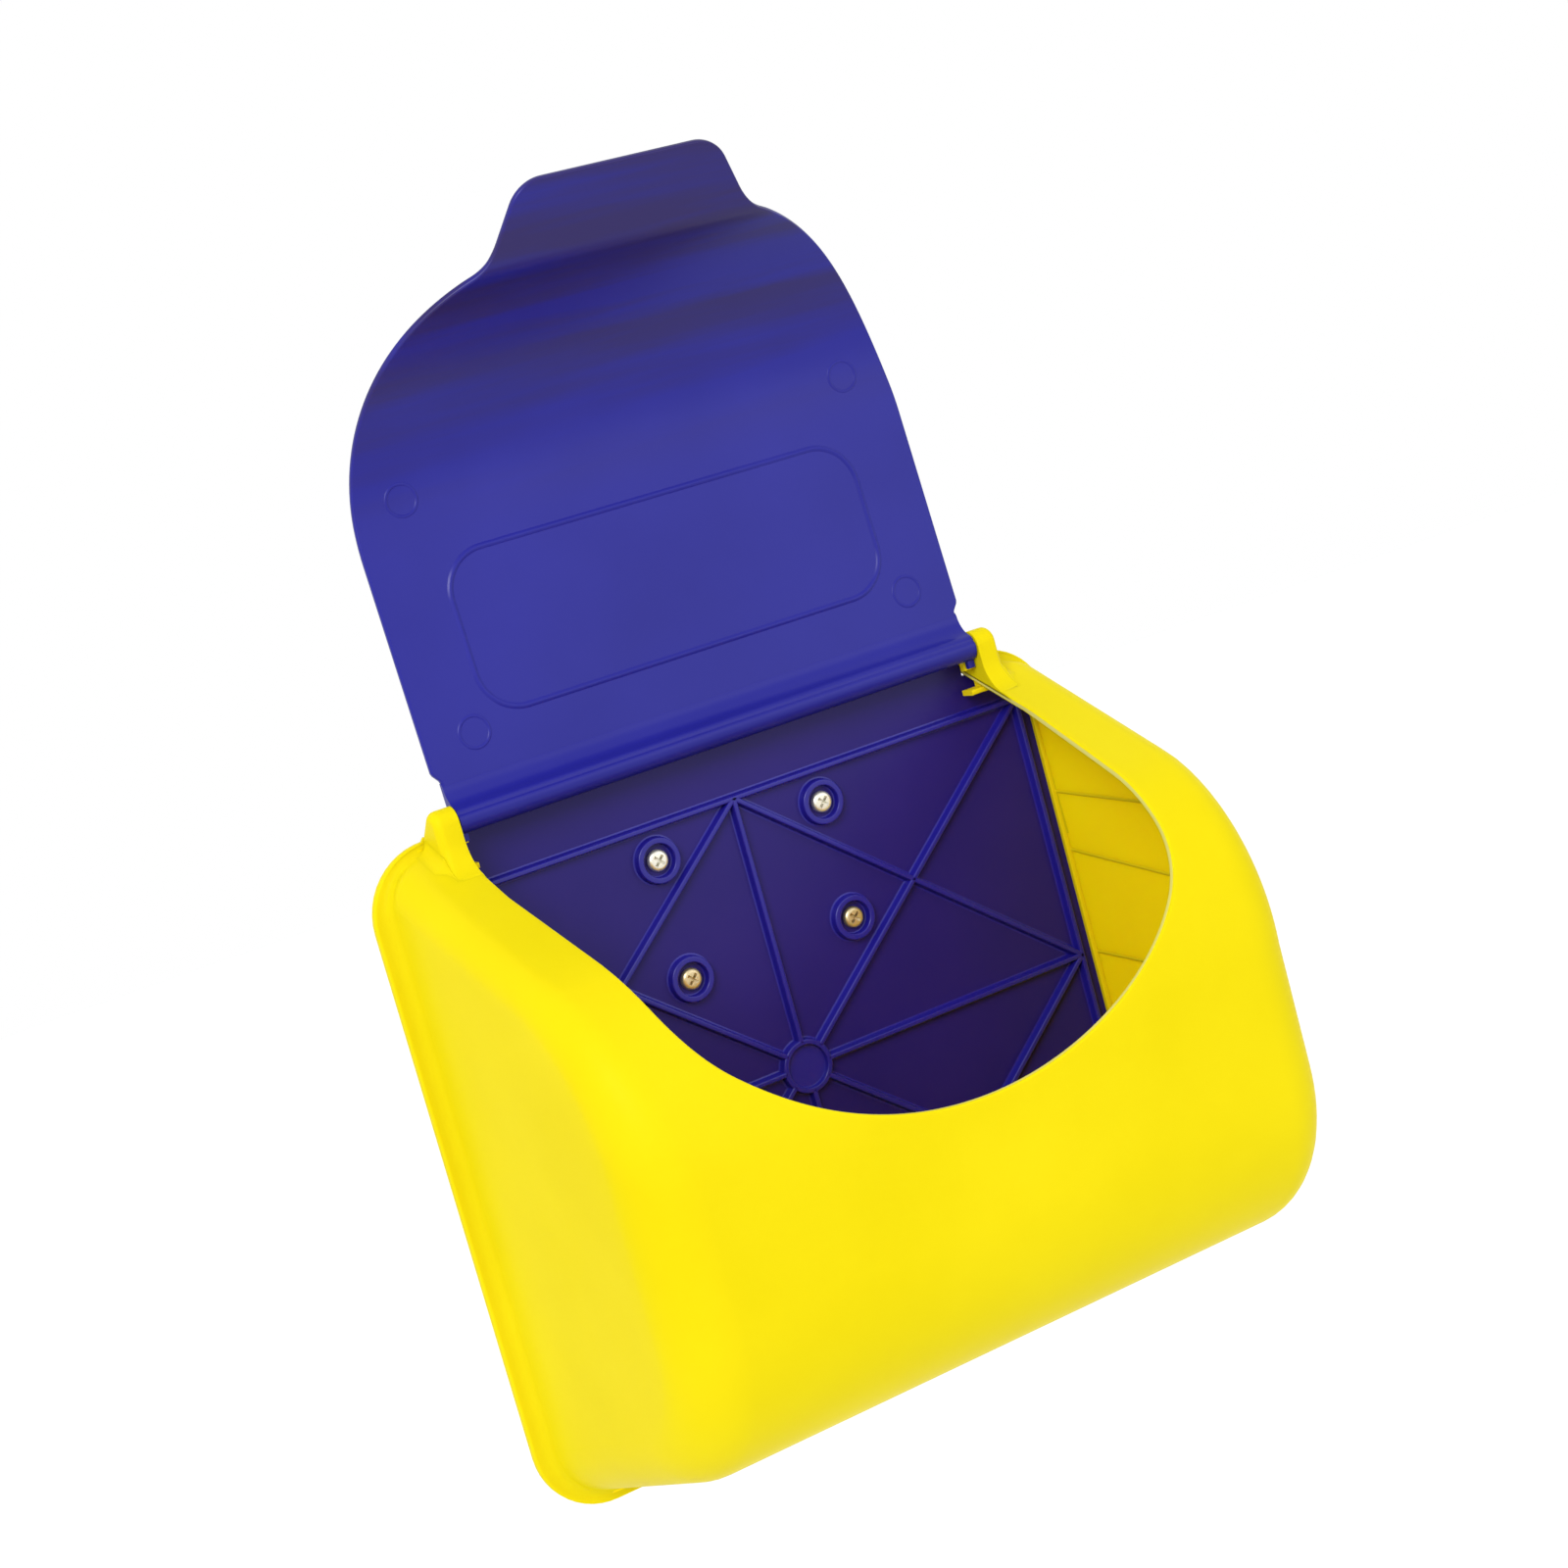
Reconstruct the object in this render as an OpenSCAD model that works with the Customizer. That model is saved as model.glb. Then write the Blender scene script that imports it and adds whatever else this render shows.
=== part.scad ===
/* [Hood] */
// Outside width of the hood at the wall
hood_w = 242; // [236:1:250]
// Distance from the wall to the front of the hood
hood_depth = 126; // [118:1:134]
// Height of the hood's top edge above the screw centre, at the wall
hood_top = 48; // [46:0.5:50]
// Drop from the screw centre to the hood's bottom edge, at the wall
hood_drop = 166; // [160:1:172]
// Forward slope of the top, in degrees
top_slope = 22.8; // [20:0.2:25]
// Upward slope of the floor towards the front, in degrees
floor_slope = 14.6; // [12:0.2:17]
// Radius between the top slope and the front
nose_r = 68; // [60:1:74]
// Radius between the front and the floor
chin_r = 56; // [46:1:64]
// Side walls lean in by this much for each millimetre of depth
side_draft = 0.037; // [0.02:0.001:0.06]
// Wall thickness of the hood
wall = 2.4; // [2:0.1:3]

/* [Flange] */
// How far the flange stands out round the hood at the sides
flange_out = 5.5; // [4:0.5:8]
// Thickness of the flange
flange_t = 3; // [2:0.5:4]
// Corner radius of the flange
flange_r = 23; // [18:1:28]

/* [Mouth] */
// Height of the mouth's lowest point, below the screw centre
mouth_low = 56.5; // [48:0.5:60]
// Radius of the mouth's bottom
mouth_r = 108; // [104:1:110]
// Radius of the mouth's lower corners
mouth_corner_r = 47; // [44:1:50]
// Clear width between the hinge ears
mouth_w = 192; // [190:1:194]

/* [Hinge] */
// Distance of the hinge axis from the wall
hinge_out = 12; // [11.5:0.5:13]
// Height of the hinge axis above the screw centre
hinge_z = 54; // [53.5:0.5:56]
// Radius of the ears round the hinge axis
ear_r = 5; // [4.8:0.1:5.5]
// Width of each ear
ear_w = 8; // [7.5:0.5:10]
// Radius of the lid's hinge pins
pin_r = 2.5; // [2:0.1:2.8]
// Gap between a pin and its socket, on the radius
pin_gap = 0.05; // [0.02:0.01:0.08]

/* [Lid] */
// Width of the lid
lid_w = 195; // [194:1:198]
// Length of the lid along its inner face, from the hinge axis to the tip
lid_len = 193; // [188:1:194]
// Thickness of the lid
lid_t = 2.2; // [1.8:0.1:2.6]
// Width of the finger tab's straight tip
tab_w = 52; // [44:1:60]
// How far the open lid leans back past upright, in degrees
lid_lean = 4; // [2:0.5:4]
// Gap left between the closed lid and the nose of the hood
lid_gap = 1.2; // [0.8:0.1:2]

/* [Back plate] */
// Thickness of the back plate
plate_t = 2.8; // [2.4:0.1:3.2]
// Height of the ribs on the back plate
rib_h = 2.8; // [2.2:0.1:3.2]
// Width of a rib
rib_w = 2; // [1.6:0.1:2.6]
// Half width of the ribbed panel
panel_half_w = 112; // [108:1:113]
// Half height of the ribbed panel
panel_half_h = 92; // [86:1:94]
// Depth of the ribs' hub below the screw centre
hub_drop = 61; // [58:1:64]

/* [Screws] */
// Screw spacing across
screw_dx = 62; // [56:1:70]
// Screw spacing up and down
screw_dz = 40; // [36:1:46]
// Radius of the screw thread, behind the plate
thread_r = 1.95; // [1.75:0.05:2.1]
// Length of screw that enters the wall
screw_reach = 22; // [16:1:30]

/* [Hidden] */
$fn = 64;
eps = 0.01;

// Radii where the hood's top, front and floor turn into its sides
side_r_top = 9.5;
side_r_front = 19;
side_r_floor = 18;
nose_steps = 14;
chin_steps = 9;
side_steps = 6;

// Flange edges, a little outside the hood's own top and bottom edges
flange_top = hood_top + 2;
flange_bottom = -hood_drop - 3.5;

// Mouth outline: bottom arc, corner arc, then a straight side
mouth_arc_end = 45;
mouth_side_angle = 78;

// Clearance of the plate inside the hood, and the hood's seat for it
plate_gap = 0.25;
seat_w = 1.8;
seat_t = 2;

// Catches that hold the plate in from behind
catch_len = 14;
catch_t = 1.2;
catch_in = 1.6;
catch_z = [-10, -120];

// Tongue in front of the plate at each top corner
tongue_in = 4;
tongue_z = 38;
tongue_t = 1.8;
tongue_d = 7;

// Lid stop on each ear and the heel that meets it
stop_in = 3.4;
heel_r = 7;
heel_t = 2;
heel_w = 2.6;
touch_gap = 0.3;

// Fillet in front of each ear
ear_fillet_r = 12;

// Hinge barrel and pins
barrel_r = 4.5;
end_gap = 0.5;
pin_len = 5;

// The lid's inner face lies behind the hinge axis by this much
lid_back = 2;
lid_root_len = 13;
neck_r = 24;
tab_corner_r = 12;
tab_flare = 25;
tab_kick = 27;
tab_kick_r = 12;
lid_end_center = 82;

// Bosses round the screws
boss_r = 7.5;
boss_bore_r = 5.5;
hole_r = 2.2;
hub_r = 9;

// Screw heads
head_r = 3.6;
head_h = 2.4;
neck_screw_r = 1.6;
tip_len = 3;

// Hood section, as distance from the wall u and height z
nose_angle = 90 - top_slope;
chin_angle = 90 - floor_slope;
nose_z = hood_top - hood_depth * tan(top_slope) - nose_r * tan(nose_angle / 2);
chin_z = -hood_drop + hood_depth * tan(floor_slope) + chin_r * tan(chin_angle / 2);

// Angles of the outward normal along the section, from the top to the floor
section_angles = concat(
    [for (i = [0:nose_steps]) nose_angle * (1 - i / nose_steps)],
    [for (i = [0:chin_steps]) -chin_angle * i / chin_steps]
);
row_count = len(section_angles) + 2;

function side_radius(a) =
    lookup(a, [[-chin_angle, side_r_floor], [0, side_r_front], [nose_angle, side_r_top]]);

// A point of the section inset by d, at arc row i
function arc_point(i, d) =
    let (a = section_angles[i])
    i <= nose_steps
        ? [hood_depth - nose_r + (nose_r - d) * cos(a), nose_z + (nose_r - d) * sin(a)]
        : [hood_depth - chin_r + (chin_r - d) * cos(a), chin_z + (chin_r - d) * sin(a)];

// Section rows: the top at distance u0 from the wall, the arcs, then the floor at u0
function section_point(row, d, u0) =
    row == 0 ? [u0, hood_top - u0 * tan(top_slope) - d / cos(top_slope)]
    : row == row_count - 1 ? [u0, -hood_drop + u0 * tan(floor_slope) + d / cos(floor_slope)]
    : arc_point(row - 1, d);

function row_angle(row) = section_angles[min(max(row - 1, 0), len(section_angles) - 1)];

// One point of the hood's skin, offset inwards by t; k counts round from the left side to the right
function skin_point(row, k, t, u0) =
    let (
        right = k > side_steps,
        step = right ? k - side_steps - 1 : side_steps - k,
        turn = 90 * step / side_steps,
        r = side_radius(row_angle(row)) - t,
        p = section_point(row, t + r * (1 - cos(turn)), u0),
        x = hood_w / 2 - side_draft * p[0] - t - r + r * sin(turn)
    )
    [right ? x : -x, -p[0], p[1]];

// Solid bounded by the hood's skin offset inwards by t, starting at distance u0 from the wall
module hood_solid(t, u0) {
    cols = 2 * side_steps + 2;
    rows = row_count;
    points = [for (i = [0:rows - 1]) for (k = [0:cols - 1]) skin_point(i, k, t, u0)];
    skin = [
        for (i = [0:rows - 2]) for (k = [0:cols - 2]) each [
            [i * cols + k, i * cols + k + 1, (i + 1) * cols + k],
            [i * cols + k + 1, (i + 1) * cols + k + 1, (i + 1) * cols + k]
        ]
    ];
    left_side = [for (i = [0:rows - 1]) i * cols];
    right_side = [for (i = [rows - 1:-1:0]) i * cols + cols - 1];
    back = concat(
        [for (k = [cols - 1:-1:0]) k],
        [for (k = [0:cols - 1]) (rows - 1) * cols + k]
    );
    polyhedron(points, concat(skin, [left_side, right_side, back]), convexity = 6);
}

// Flat plate against the wall plane: half width w, from z0 to z1, from u0 to u1 out from the wall
module wall_slab(w, z0, z1, r_top, r_bottom, u0, u1) {
    translate([0, -u0, 0]) rotate([90, 0, 0]) linear_extrude(u1 - u0) {
        translate([-w, z0 + r_bottom]) square([2 * w, z1 - z0 - r_top - r_bottom]);
        translate([-w + r_top, z0 + r_bottom]) square([2 * (w - r_top), z1 - z0 - r_bottom]);
        translate([-w + r_bottom, z0]) square([2 * (w - r_bottom), z1 - z0 - r_top]);
        for (s = [-1, 1]) {
            translate([s * (w - r_top), z1 - r_top]) circle(r_top);
            translate([s * (w - r_bottom), z0 + r_bottom]) circle(r_bottom);
        }
    }
}

// Right half of the mouth's outline in the front view, from the bottom up
mouth_c1 = [0, mouth_r - mouth_low];
mouth_p1 = mouth_c1 + mouth_r * [sin(mouth_arc_end), -cos(mouth_arc_end)];
mouth_c2 = mouth_p1 + mouth_corner_r * [-sin(mouth_arc_end), cos(mouth_arc_end)];
mouth_p2 = mouth_c2 + mouth_corner_r * [sin(mouth_side_angle), -cos(mouth_side_angle)];
mouth_side_z = mouth_p2[1] + (mouth_w / 2 - mouth_p2[0]) * tan(mouth_side_angle);
mouth_right = concat(
    [for (a = [0:3:mouth_arc_end]) mouth_c1 + mouth_r * [sin(a), -cos(a)]],
    [for (a = [mouth_arc_end + 3:3:mouth_side_angle])
        mouth_c2 + mouth_corner_r * [sin(a), -cos(a)]],
    [[mouth_w / 2, mouth_side_z], [mouth_w / 2, hood_top + 30]]
);

module mouth_cut() {
    left = [for (i = [len(mouth_right) - 1:-1:1]) [-mouth_right[i][0], mouth_right[i][1]]];
    translate([0, 10, 0]) rotate([90, 0, 0])
        linear_extrude(hood_depth + 30) polygon(concat(mouth_right, left));
}

module at_hinge() {
    translate([0, -hinge_out, hinge_z]) children();
}

// Cylinder along X from x0 to x1, round the hinge axis
module hinge_rod(r, x0, x1) {
    at_hinge() translate([x0, 0, 0]) rotate([0, 90, 0]) cylinder(r = r, h = x1 - x0);
}

// Side view of an ear: from the flange's top edge over the hinge, then down to the top slope
function top_z(u) = hood_top - u * tan(top_slope);
ear_front = hinge_out + ear_r;
ear_reach = [hinge_out, hinge_z - flange_top];
ear_back_angle = atan2(ear_reach[1], ear_reach[0]) + asin(ear_r / norm(ear_reach));
ear_back_len = sqrt(norm(ear_reach) ^ 2 - ear_r ^ 2);
ear_fillet_c = [ear_front + ear_fillet_r, top_z(ear_front + ear_fillet_r) + ear_fillet_r / cos(top_slope)];
ear_side = concat(
    [[0, top_z(0) - wall / 2], [0, flange_top]],
    [[ear_back_len * cos(ear_back_angle), flange_top + ear_back_len * sin(ear_back_angle)]],
    [[hinge_out, hinge_z], [ear_front, hinge_z]],
    [for (a = [0:(90 - top_slope) / 6:90 - top_slope])
        ear_fillet_c - ear_fillet_r * [cos(a), sin(a)]],
    [[ear_fillet_c[0], top_z(ear_fillet_c[0]) - wall / 2]]
);

module ear(side) {
    x0 = side > 0 ? mouth_w / 2 : -mouth_w / 2 - ear_w;
    hinge_rod(ear_r, x0, x0 + ear_w);
    translate([x0, 0, 0]) rotate([0, 0, -90]) rotate([90, 0, 0])
        mirror([0, 0, 1]) linear_extrude(ear_w) polygon(ear_side);
}

module pin_socket(side) {
    depth = pin_len + 1;
    x0 = side > 0 ? mouth_w / 2 - 1 : -mouth_w / 2 - depth;
    hinge_rod(pin_r + pin_gap, x0, x0 + depth + 1);
}

// Nub under the barrel that stops the lid's heel
module lid_stop(side) {
    z_top = hinge_z - barrel_r - touch_gap - 0.3;
    x0 = side > 0 ? mouth_w / 2 - stop_in : -mouth_w / 2 - 1;
    translate([x0, -hinge_out - ear_r + 0.5, z_top - 2.6])
        cube([stop_in + 1, ear_r - 0.5 - heel_t / 2 - touch_gap, 2.6]);
}

// Tongue that stands in front of the plate's top corner
module plate_tongue(side) {
    front = plate_t + rib_h;
    length = tongue_in + 9;
    x0 = side > 0 ? mouth_w / 2 - tongue_in : -mouth_w / 2 + tongue_in - length;
    root_x = side > 0 ? mouth_w / 2 + 1.5 : -mouth_w / 2 - 1.5 - 6;
    translate([x0, -front - tongue_d, tongue_z]) cube([length, tongue_d, tongue_t]);
    translate([root_x, -front - tongue_d, tongue_z]) cube([6, tongue_d, 5]);
}

// Ledge round the inside of the hood that the plate seats against
module plate_seat() {
    outer_w = hood_w / 2 - wall + 1;
    inner_w = hood_w / 2 - wall - seat_w;
    z0 = -hood_drop + wall;
    z1 = hood_top - wall;
    difference() {
        wall_slab(outer_w, z0 - 0.6, z1, side_r_top, side_r_floor, plate_t, plate_t + seat_t);
        wall_slab(inner_w, z0 + seat_w + 1, z1 - seat_w - 2, side_r_top, side_r_floor - 2,
            plate_t - 1, plate_t + seat_t + 1);
        mouth_cut();
    }
}

module plate_catch(side, z) {
    x_in = hood_w / 2 - wall - catch_in;
    x0 = side > 0 ? x_in : -x_in - catch_in - 1;
    translate([x0, -catch_t, z - catch_len / 2]) cube([catch_in + 1, catch_t, catch_len]);
}

module front_shell() {
    color("yellow") {
        difference() {
            union() {
                hood_solid(0, 0);
                wall_slab(hood_w / 2 + flange_out, flange_bottom, flange_top,
                    flange_r, flange_r, 0, flange_t);
                for (side = [-1, 1]) ear(side);
            }
            hood_solid(wall, -1);
            mouth_cut();
            for (side = [-1, 1]) pin_socket(side);
        }
        plate_seat();
        for (side = [-1, 1]) {
            lid_stop(side);
            plate_tongue(side);
            for (z = catch_z) plate_catch(side, z);
        }
    }
}

// Plan of a rib from p to q
module rib(p, q) {
    d = q - p;
    translate(p) rotate(atan2(d[1], d[0])) translate([0, -rib_w / 2]) square([norm(d), rib_w]);
}

// Plan of the ribs: a frame, spokes from the hub to it, and a diamond between its middles
module rib_plan() {
    w = panel_half_w;
    h = panel_half_h;
    mid = [[w, 0], [0, h], [-w, 0], [0, -h]];
    corner = [[w, h], [-w, h], [-w, -h], [w, -h]];
    difference() {
        square([2 * w + rib_w, 2 * h + rib_w], center = true);
        square([2 * w - rib_w, 2 * h - rib_w], center = true);
    }
    for (i = [0:3]) {
        rib([0, 0], mid[i]);
        rib([0, 0], corner[i]);
        rib(mid[i], mid[(i + 1) % 4]);
    }
    circle(hub_r);
}

module screw_places(rows) {
    for (z = rows) for (s = [-1, 1])
        translate([s * screw_dx / 2, 0, z * screw_dz / 2]) children();
}

module back_plate() {
    half_w = hood_w / 2 - wall - side_draft * plate_t - plate_gap;
    z0 = -hood_drop + wall + 1.2;
    z1 = hood_top - wall - 1.6;
    top_edge = hinge_z - barrel_r - 0.9;
    face = plate_t + rib_h;
    color("darkslateblue") difference() {
        union() {
            wall_slab(half_w, z0, z1, side_r_top - wall, side_r_floor - wall, 0, plate_t);
            translate([-mouth_w / 2 + end_gap, -plate_t, z1 - 5])
                cube([mouth_w - 2 * end_gap, plate_t, top_edge - z1 + 5]);
            translate([0, 0, -hub_drop]) rotate([90, 0, 0]) linear_extrude(face) rib_plan();
            screw_places([-1, 1]) rotate([90, 0, 0]) cylinder(r = boss_r, h = face);
        }
        screw_places([-1, 1]) {
            translate([0, 1, 0]) rotate([90, 0, 0]) cylinder(r = hole_r, h = plate_t + 2);
            translate([0, -plate_t, 0]) rotate([90, 0, 0]) cylinder(r = boss_bore_r, h = rib_h + 1);
        }
        for (side = [-1, 1]) for (z = catch_z)
            translate([side * (half_w - 0.7), 0, z])
                cube([2 * catch_in + 1, 2 * catch_t + 0.4, catch_len + 1], center = true);
    }
}

// Lid, in its own frame: hinge axis at the origin, panel up +Z, inner face towards -Y.
// Its inner face closes round the nose at lid_gap, so the curl starts where that makes it tangent.
lid_inner_r = nose_r + lid_gap;
nose_from_hinge = [hood_depth - nose_r - hinge_out, hinge_z - nose_z];
nose_distance = norm(nose_from_hinge);
lid_flat = sqrt(nose_distance ^ 2 - (lid_inner_r - lid_back) ^ 2);
closed_slope = atan2(nose_from_hinge[1], nose_from_hinge[0])
    - atan2(lid_inner_r - lid_back, lid_flat);
curl = 90 - closed_slope;
curl_len = lid_inner_r * curl * PI / 180;
kick_len = tab_kick_r * tab_kick * PI / 180;
kick_start = lid_flat + curl_len;

// Direction of the lid's inner face, turned forwards from upright, at distance s from the hinge
function lid_turn(s) =
    s < lid_flat ? 0
    : s < kick_start ? (s - lid_flat) / curl_len * curl
    : curl - tab_kick * min((s - kick_start) / kick_len, 1);

function curl_point(a) = [-lid_back + lid_inner_r * (1 - cos(a)), lid_flat + lid_inner_r * sin(a)];
function kick_point(a) =
    curl_point(curl) + tab_kick_r * [cos(curl - a) - cos(curl), sin(curl) - sin(curl - a)];

// Point of the inner face at distance s, as forward distance and height
function lid_point(s) =
    s < lid_flat ? [-lid_back, s]
    : s < kick_start ? curl_point(lid_turn(s))
    : s < kick_start + kick_len ? kick_point(curl - lid_turn(s))
    : kick_point(tab_kick) + (s - kick_start - kick_len) * [sin(curl - tab_kick), cos(curl - tab_kick)];

// Outline rows, as half width and distance s: root, sides, round end, neck, flared tab and its corner
end_r = lid_w / 2;
end_c = [0, lid_end_center];
root_w = mouth_w / 2 - end_gap - 0.3;
corner_c = [tab_w / 2, lid_len - tab_corner_r];
flare_out = [cos(tab_flare), sin(tab_flare)];
flare_down = [sin(tab_flare), -cos(tab_flare)];
flare_from = corner_c + (tab_corner_r + neck_r) * flare_out - end_c;
flare_len = -flare_from * flare_down
    - sqrt((flare_from * flare_down) ^ 2 - flare_from * flare_from + (end_r + neck_r) ^ 2);
neck_c = end_c + flare_from + flare_len * flare_down;
neck_angle = atan2(neck_c[1] - lid_end_center, neck_c[0]);
lid_rows = concat(
    [[root_w, 1], [root_w, lid_root_len], [end_r, lid_root_len + 2.5], [end_r, lid_end_center]],
    [for (i = [1:16]) let (a = neck_angle * i / 16) end_c + end_r * [cos(a), sin(a)]],
    [for (i = [1:5]) let (a = neck_angle + (tab_flare - neck_angle) * i / 5)
        neck_c - neck_r * [cos(a), sin(a)]],
    [for (i = [0:5]) let (a = tab_flare + (90 - tab_flare) * i / 5)
        corner_c + tab_corner_r * [cos(a), sin(a)]]
);

module lid_sheet() {
    n = len(lid_rows);
    points = [
        for (row = lid_rows) let (
            p = lid_point(row[1]),
            a = lid_turn(row[1]),
            q = p + lid_t * [-cos(a), sin(a)]
        ) each [
            [-row[0], -p[0], p[1]], [row[0], -p[0], p[1]],
            [row[0], -q[0], q[1]], [-row[0], -q[0], q[1]]
        ]
    ];
    sides = [
        for (i = [0:n - 2]) for (k = [0:3]) let (a = 4 * i + k, b = 4 * i + (k + 1) % 4) each [
            [a, b + 4, b], [a, a + 4, b + 4]
        ]
    ];
    tip = [for (k = [3:-1:0]) 4 * (n - 1) + k];
    polyhedron(points, concat(sides, [[0, 1, 2, 3]], [tip]), convexity = 6);
}

module lid() {
    half = mouth_w / 2 - end_gap;
    color("mediumblue") {
        at_hinge() rotate([-lid_lean, 0, 0]) lid_sheet();
        hinge_rod(barrel_r, -half, half);
        for (side = [-1, 1])
            hinge_rod(pin_r, side > 0 ? half - 1 : -half - pin_len, side > 0 ? half + pin_len : -half + 1);
        for (x = [-half, half - heel_w]) at_hinge()
            translate([x, -heel_t / 2, -heel_r]) cube([heel_w, heel_t, heel_r - 1]);
    }
}

// Pan-head screw with its axis along Y, head towards the front, seated on the plate
module screw() {
    rotate([-90, 0, 0]) difference() {
        union() {
            rotate_extrude() polygon(concat(
                [[0, -plate_t]],
                [[head_r, -plate_t]],
                [for (a = [0:15:90])
                    [head_r - 1.4 * (1 - cos(a)), -plate_t - head_h + 1.4 - 1.4 * sin(a)]],
                [[0, -plate_t - head_h]]
            ));
            translate([0, 0, -plate_t - eps]) cylinder(r = neck_screw_r, h = plate_t + 2 * eps);
            cylinder(r = thread_r, h = screw_reach - tip_len);
            translate([0, 0, screw_reach - tip_len - eps])
                cylinder(r1 = thread_r, r2 = 0.3, h = tip_len);
        }
        for (a = [45, 135]) rotate([0, 0, a])
            translate([-2.1, -0.45, -plate_t - head_h - 1]) cube([4.2, 0.9, 2.5]);
    }
}

module upper_screws() {
    color("silver") screw_places([1]) screw();
}

module lower_screws() {
    color("tan") screw_places([-1]) screw();
}

front_shell();
back_plate();
lid();
upper_screws();
lower_screws();
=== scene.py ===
import math

import bmesh
import bpy
from mathutils import Matrix, Vector


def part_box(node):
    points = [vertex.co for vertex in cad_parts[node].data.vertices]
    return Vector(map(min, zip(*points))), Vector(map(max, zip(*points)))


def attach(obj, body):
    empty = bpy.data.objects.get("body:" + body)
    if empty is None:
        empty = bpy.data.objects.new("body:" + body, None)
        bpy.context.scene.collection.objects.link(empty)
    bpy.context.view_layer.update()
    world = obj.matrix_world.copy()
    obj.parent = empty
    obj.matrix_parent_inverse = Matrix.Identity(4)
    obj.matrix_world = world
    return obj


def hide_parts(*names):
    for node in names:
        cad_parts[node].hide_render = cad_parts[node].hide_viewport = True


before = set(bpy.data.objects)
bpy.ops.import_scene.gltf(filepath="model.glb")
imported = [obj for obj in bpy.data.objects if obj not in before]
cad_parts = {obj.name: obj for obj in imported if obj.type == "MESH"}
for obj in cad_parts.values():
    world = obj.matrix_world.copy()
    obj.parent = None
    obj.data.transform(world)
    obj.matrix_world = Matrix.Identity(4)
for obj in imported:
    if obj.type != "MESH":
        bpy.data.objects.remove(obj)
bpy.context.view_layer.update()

MM = 0.001

# ---------------------------------------------------------------- camera

VIEW_AZIMUTH = -26.19
VIEW_ELEVATION = 8.24
VIEW_ROLL = 15.44
VIEW_DISTANCE = 851.3
VIEW_TARGET = (-10.6, -65.0, 39.6)
LENS = 64.74


def make_camera():
    """Camera at the object's left and a little above it, rolled so that the object leans left."""
    az = math.radians(VIEW_AZIMUTH)
    el = math.radians(VIEW_ELEVATION)
    roll = math.radians(VIEW_ROLL)
    back = Vector((math.sin(az) * math.cos(el), -math.cos(az) * math.cos(el), math.sin(el)))
    level_right = Vector((math.cos(az), math.sin(az), 0))
    level_up = back.cross(level_right)
    right = math.cos(roll) * level_right - math.sin(roll) * level_up
    up = math.cos(roll) * level_up + math.sin(roll) * level_right
    data = bpy.data.cameras.new("camera")
    data.lens = LENS
    data.sensor_width = 36
    data.clip_start = 0.01
    data.clip_end = 50
    camera = bpy.data.objects.new("camera", data)
    bpy.context.scene.collection.objects.link(camera)
    camera.matrix_world = (
        Matrix.Translation((Vector(VIEW_TARGET) + back * VIEW_DISTANCE) * MM)
        @ Matrix((right, up, back)).transposed().to_4x4()
    )
    bpy.context.scene.camera = camera


make_camera()

# ---------------------------------------------------------------- sizes, millimetres

shell_lo, shell_hi = (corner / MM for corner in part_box("front_shell"))
HOOD_DEPTH = -shell_lo.y
FLANGE_HALF_W = shell_hi.x
FLANGE_BOTTOM = shell_lo.z
FLANGE_TOP = 50
FLANGE_T = 3
FLANGE_R = 23
HALF_W = 121
HOOD_TOP = 48
HOOD_DROP = 166
TOP_SLOPE = math.radians(22.8)
FLOOR_SLOPE = math.radians(14.6)
NOSE_R = 68
CHIN_R = 56
DRAFT = 0.037
WALL = 2.4
SIDE_R_TOP = 9.5
SIDE_R_FRONT = 19
SIDE_R_FLOOR = 18

MOUTH_LOW = 56.5
MOUTH_R = 108
MOUTH_CORNER_R = 47
MOUTH_HALF_W = 96
MOUTH_ARC_END = 45
MOUTH_SIDE_ANGLE = 78

NOSE_A = math.pi / 2 - TOP_SLOPE
CHIN_A = math.pi / 2 - FLOOR_SLOPE
NOSE_U = HOOD_DEPTH - NOSE_R
NOSE_Z = HOOD_TOP - HOOD_DEPTH * math.tan(TOP_SLOPE) - NOSE_R * math.tan(NOSE_A / 2)
CHIN_U = HOOD_DEPTH - CHIN_R
CHIN_Z = -HOOD_DROP + HOOD_DEPTH * math.tan(FLOOR_SLOPE) + CHIN_R * math.tan(CHIN_A / 2)

# Rounding of the mouth's edge and of the flange, and where the flange's fillet takes over
EDGE_R = 0.7
INNER_EDGE_R = 0.5
RIM_R = 0.9
FLANGE_FILLET = 4.5
SKIN_START = 11
WALL_R_TOP = 16
WALL_R_FLOOR = 19


def lerp(a, b, t):
    """Value a share t of the way from a to b."""
    return a + (b - a) * t


def smooth(t):
    """Eases t in and out between 0 and 1."""
    return t * t * (3 - 2 * t)


def heading(a):
    """Unit direction at angle a."""
    return Vector((math.cos(a), math.sin(a)))


def at(x, u, z):
    """Point at distance u in front of the wall."""
    return Vector((x, -u, z))


# ---------------------------------------------------------------- mesh building

SHARP_ANGLE = math.radians(38)
WELD = 0.002


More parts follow.
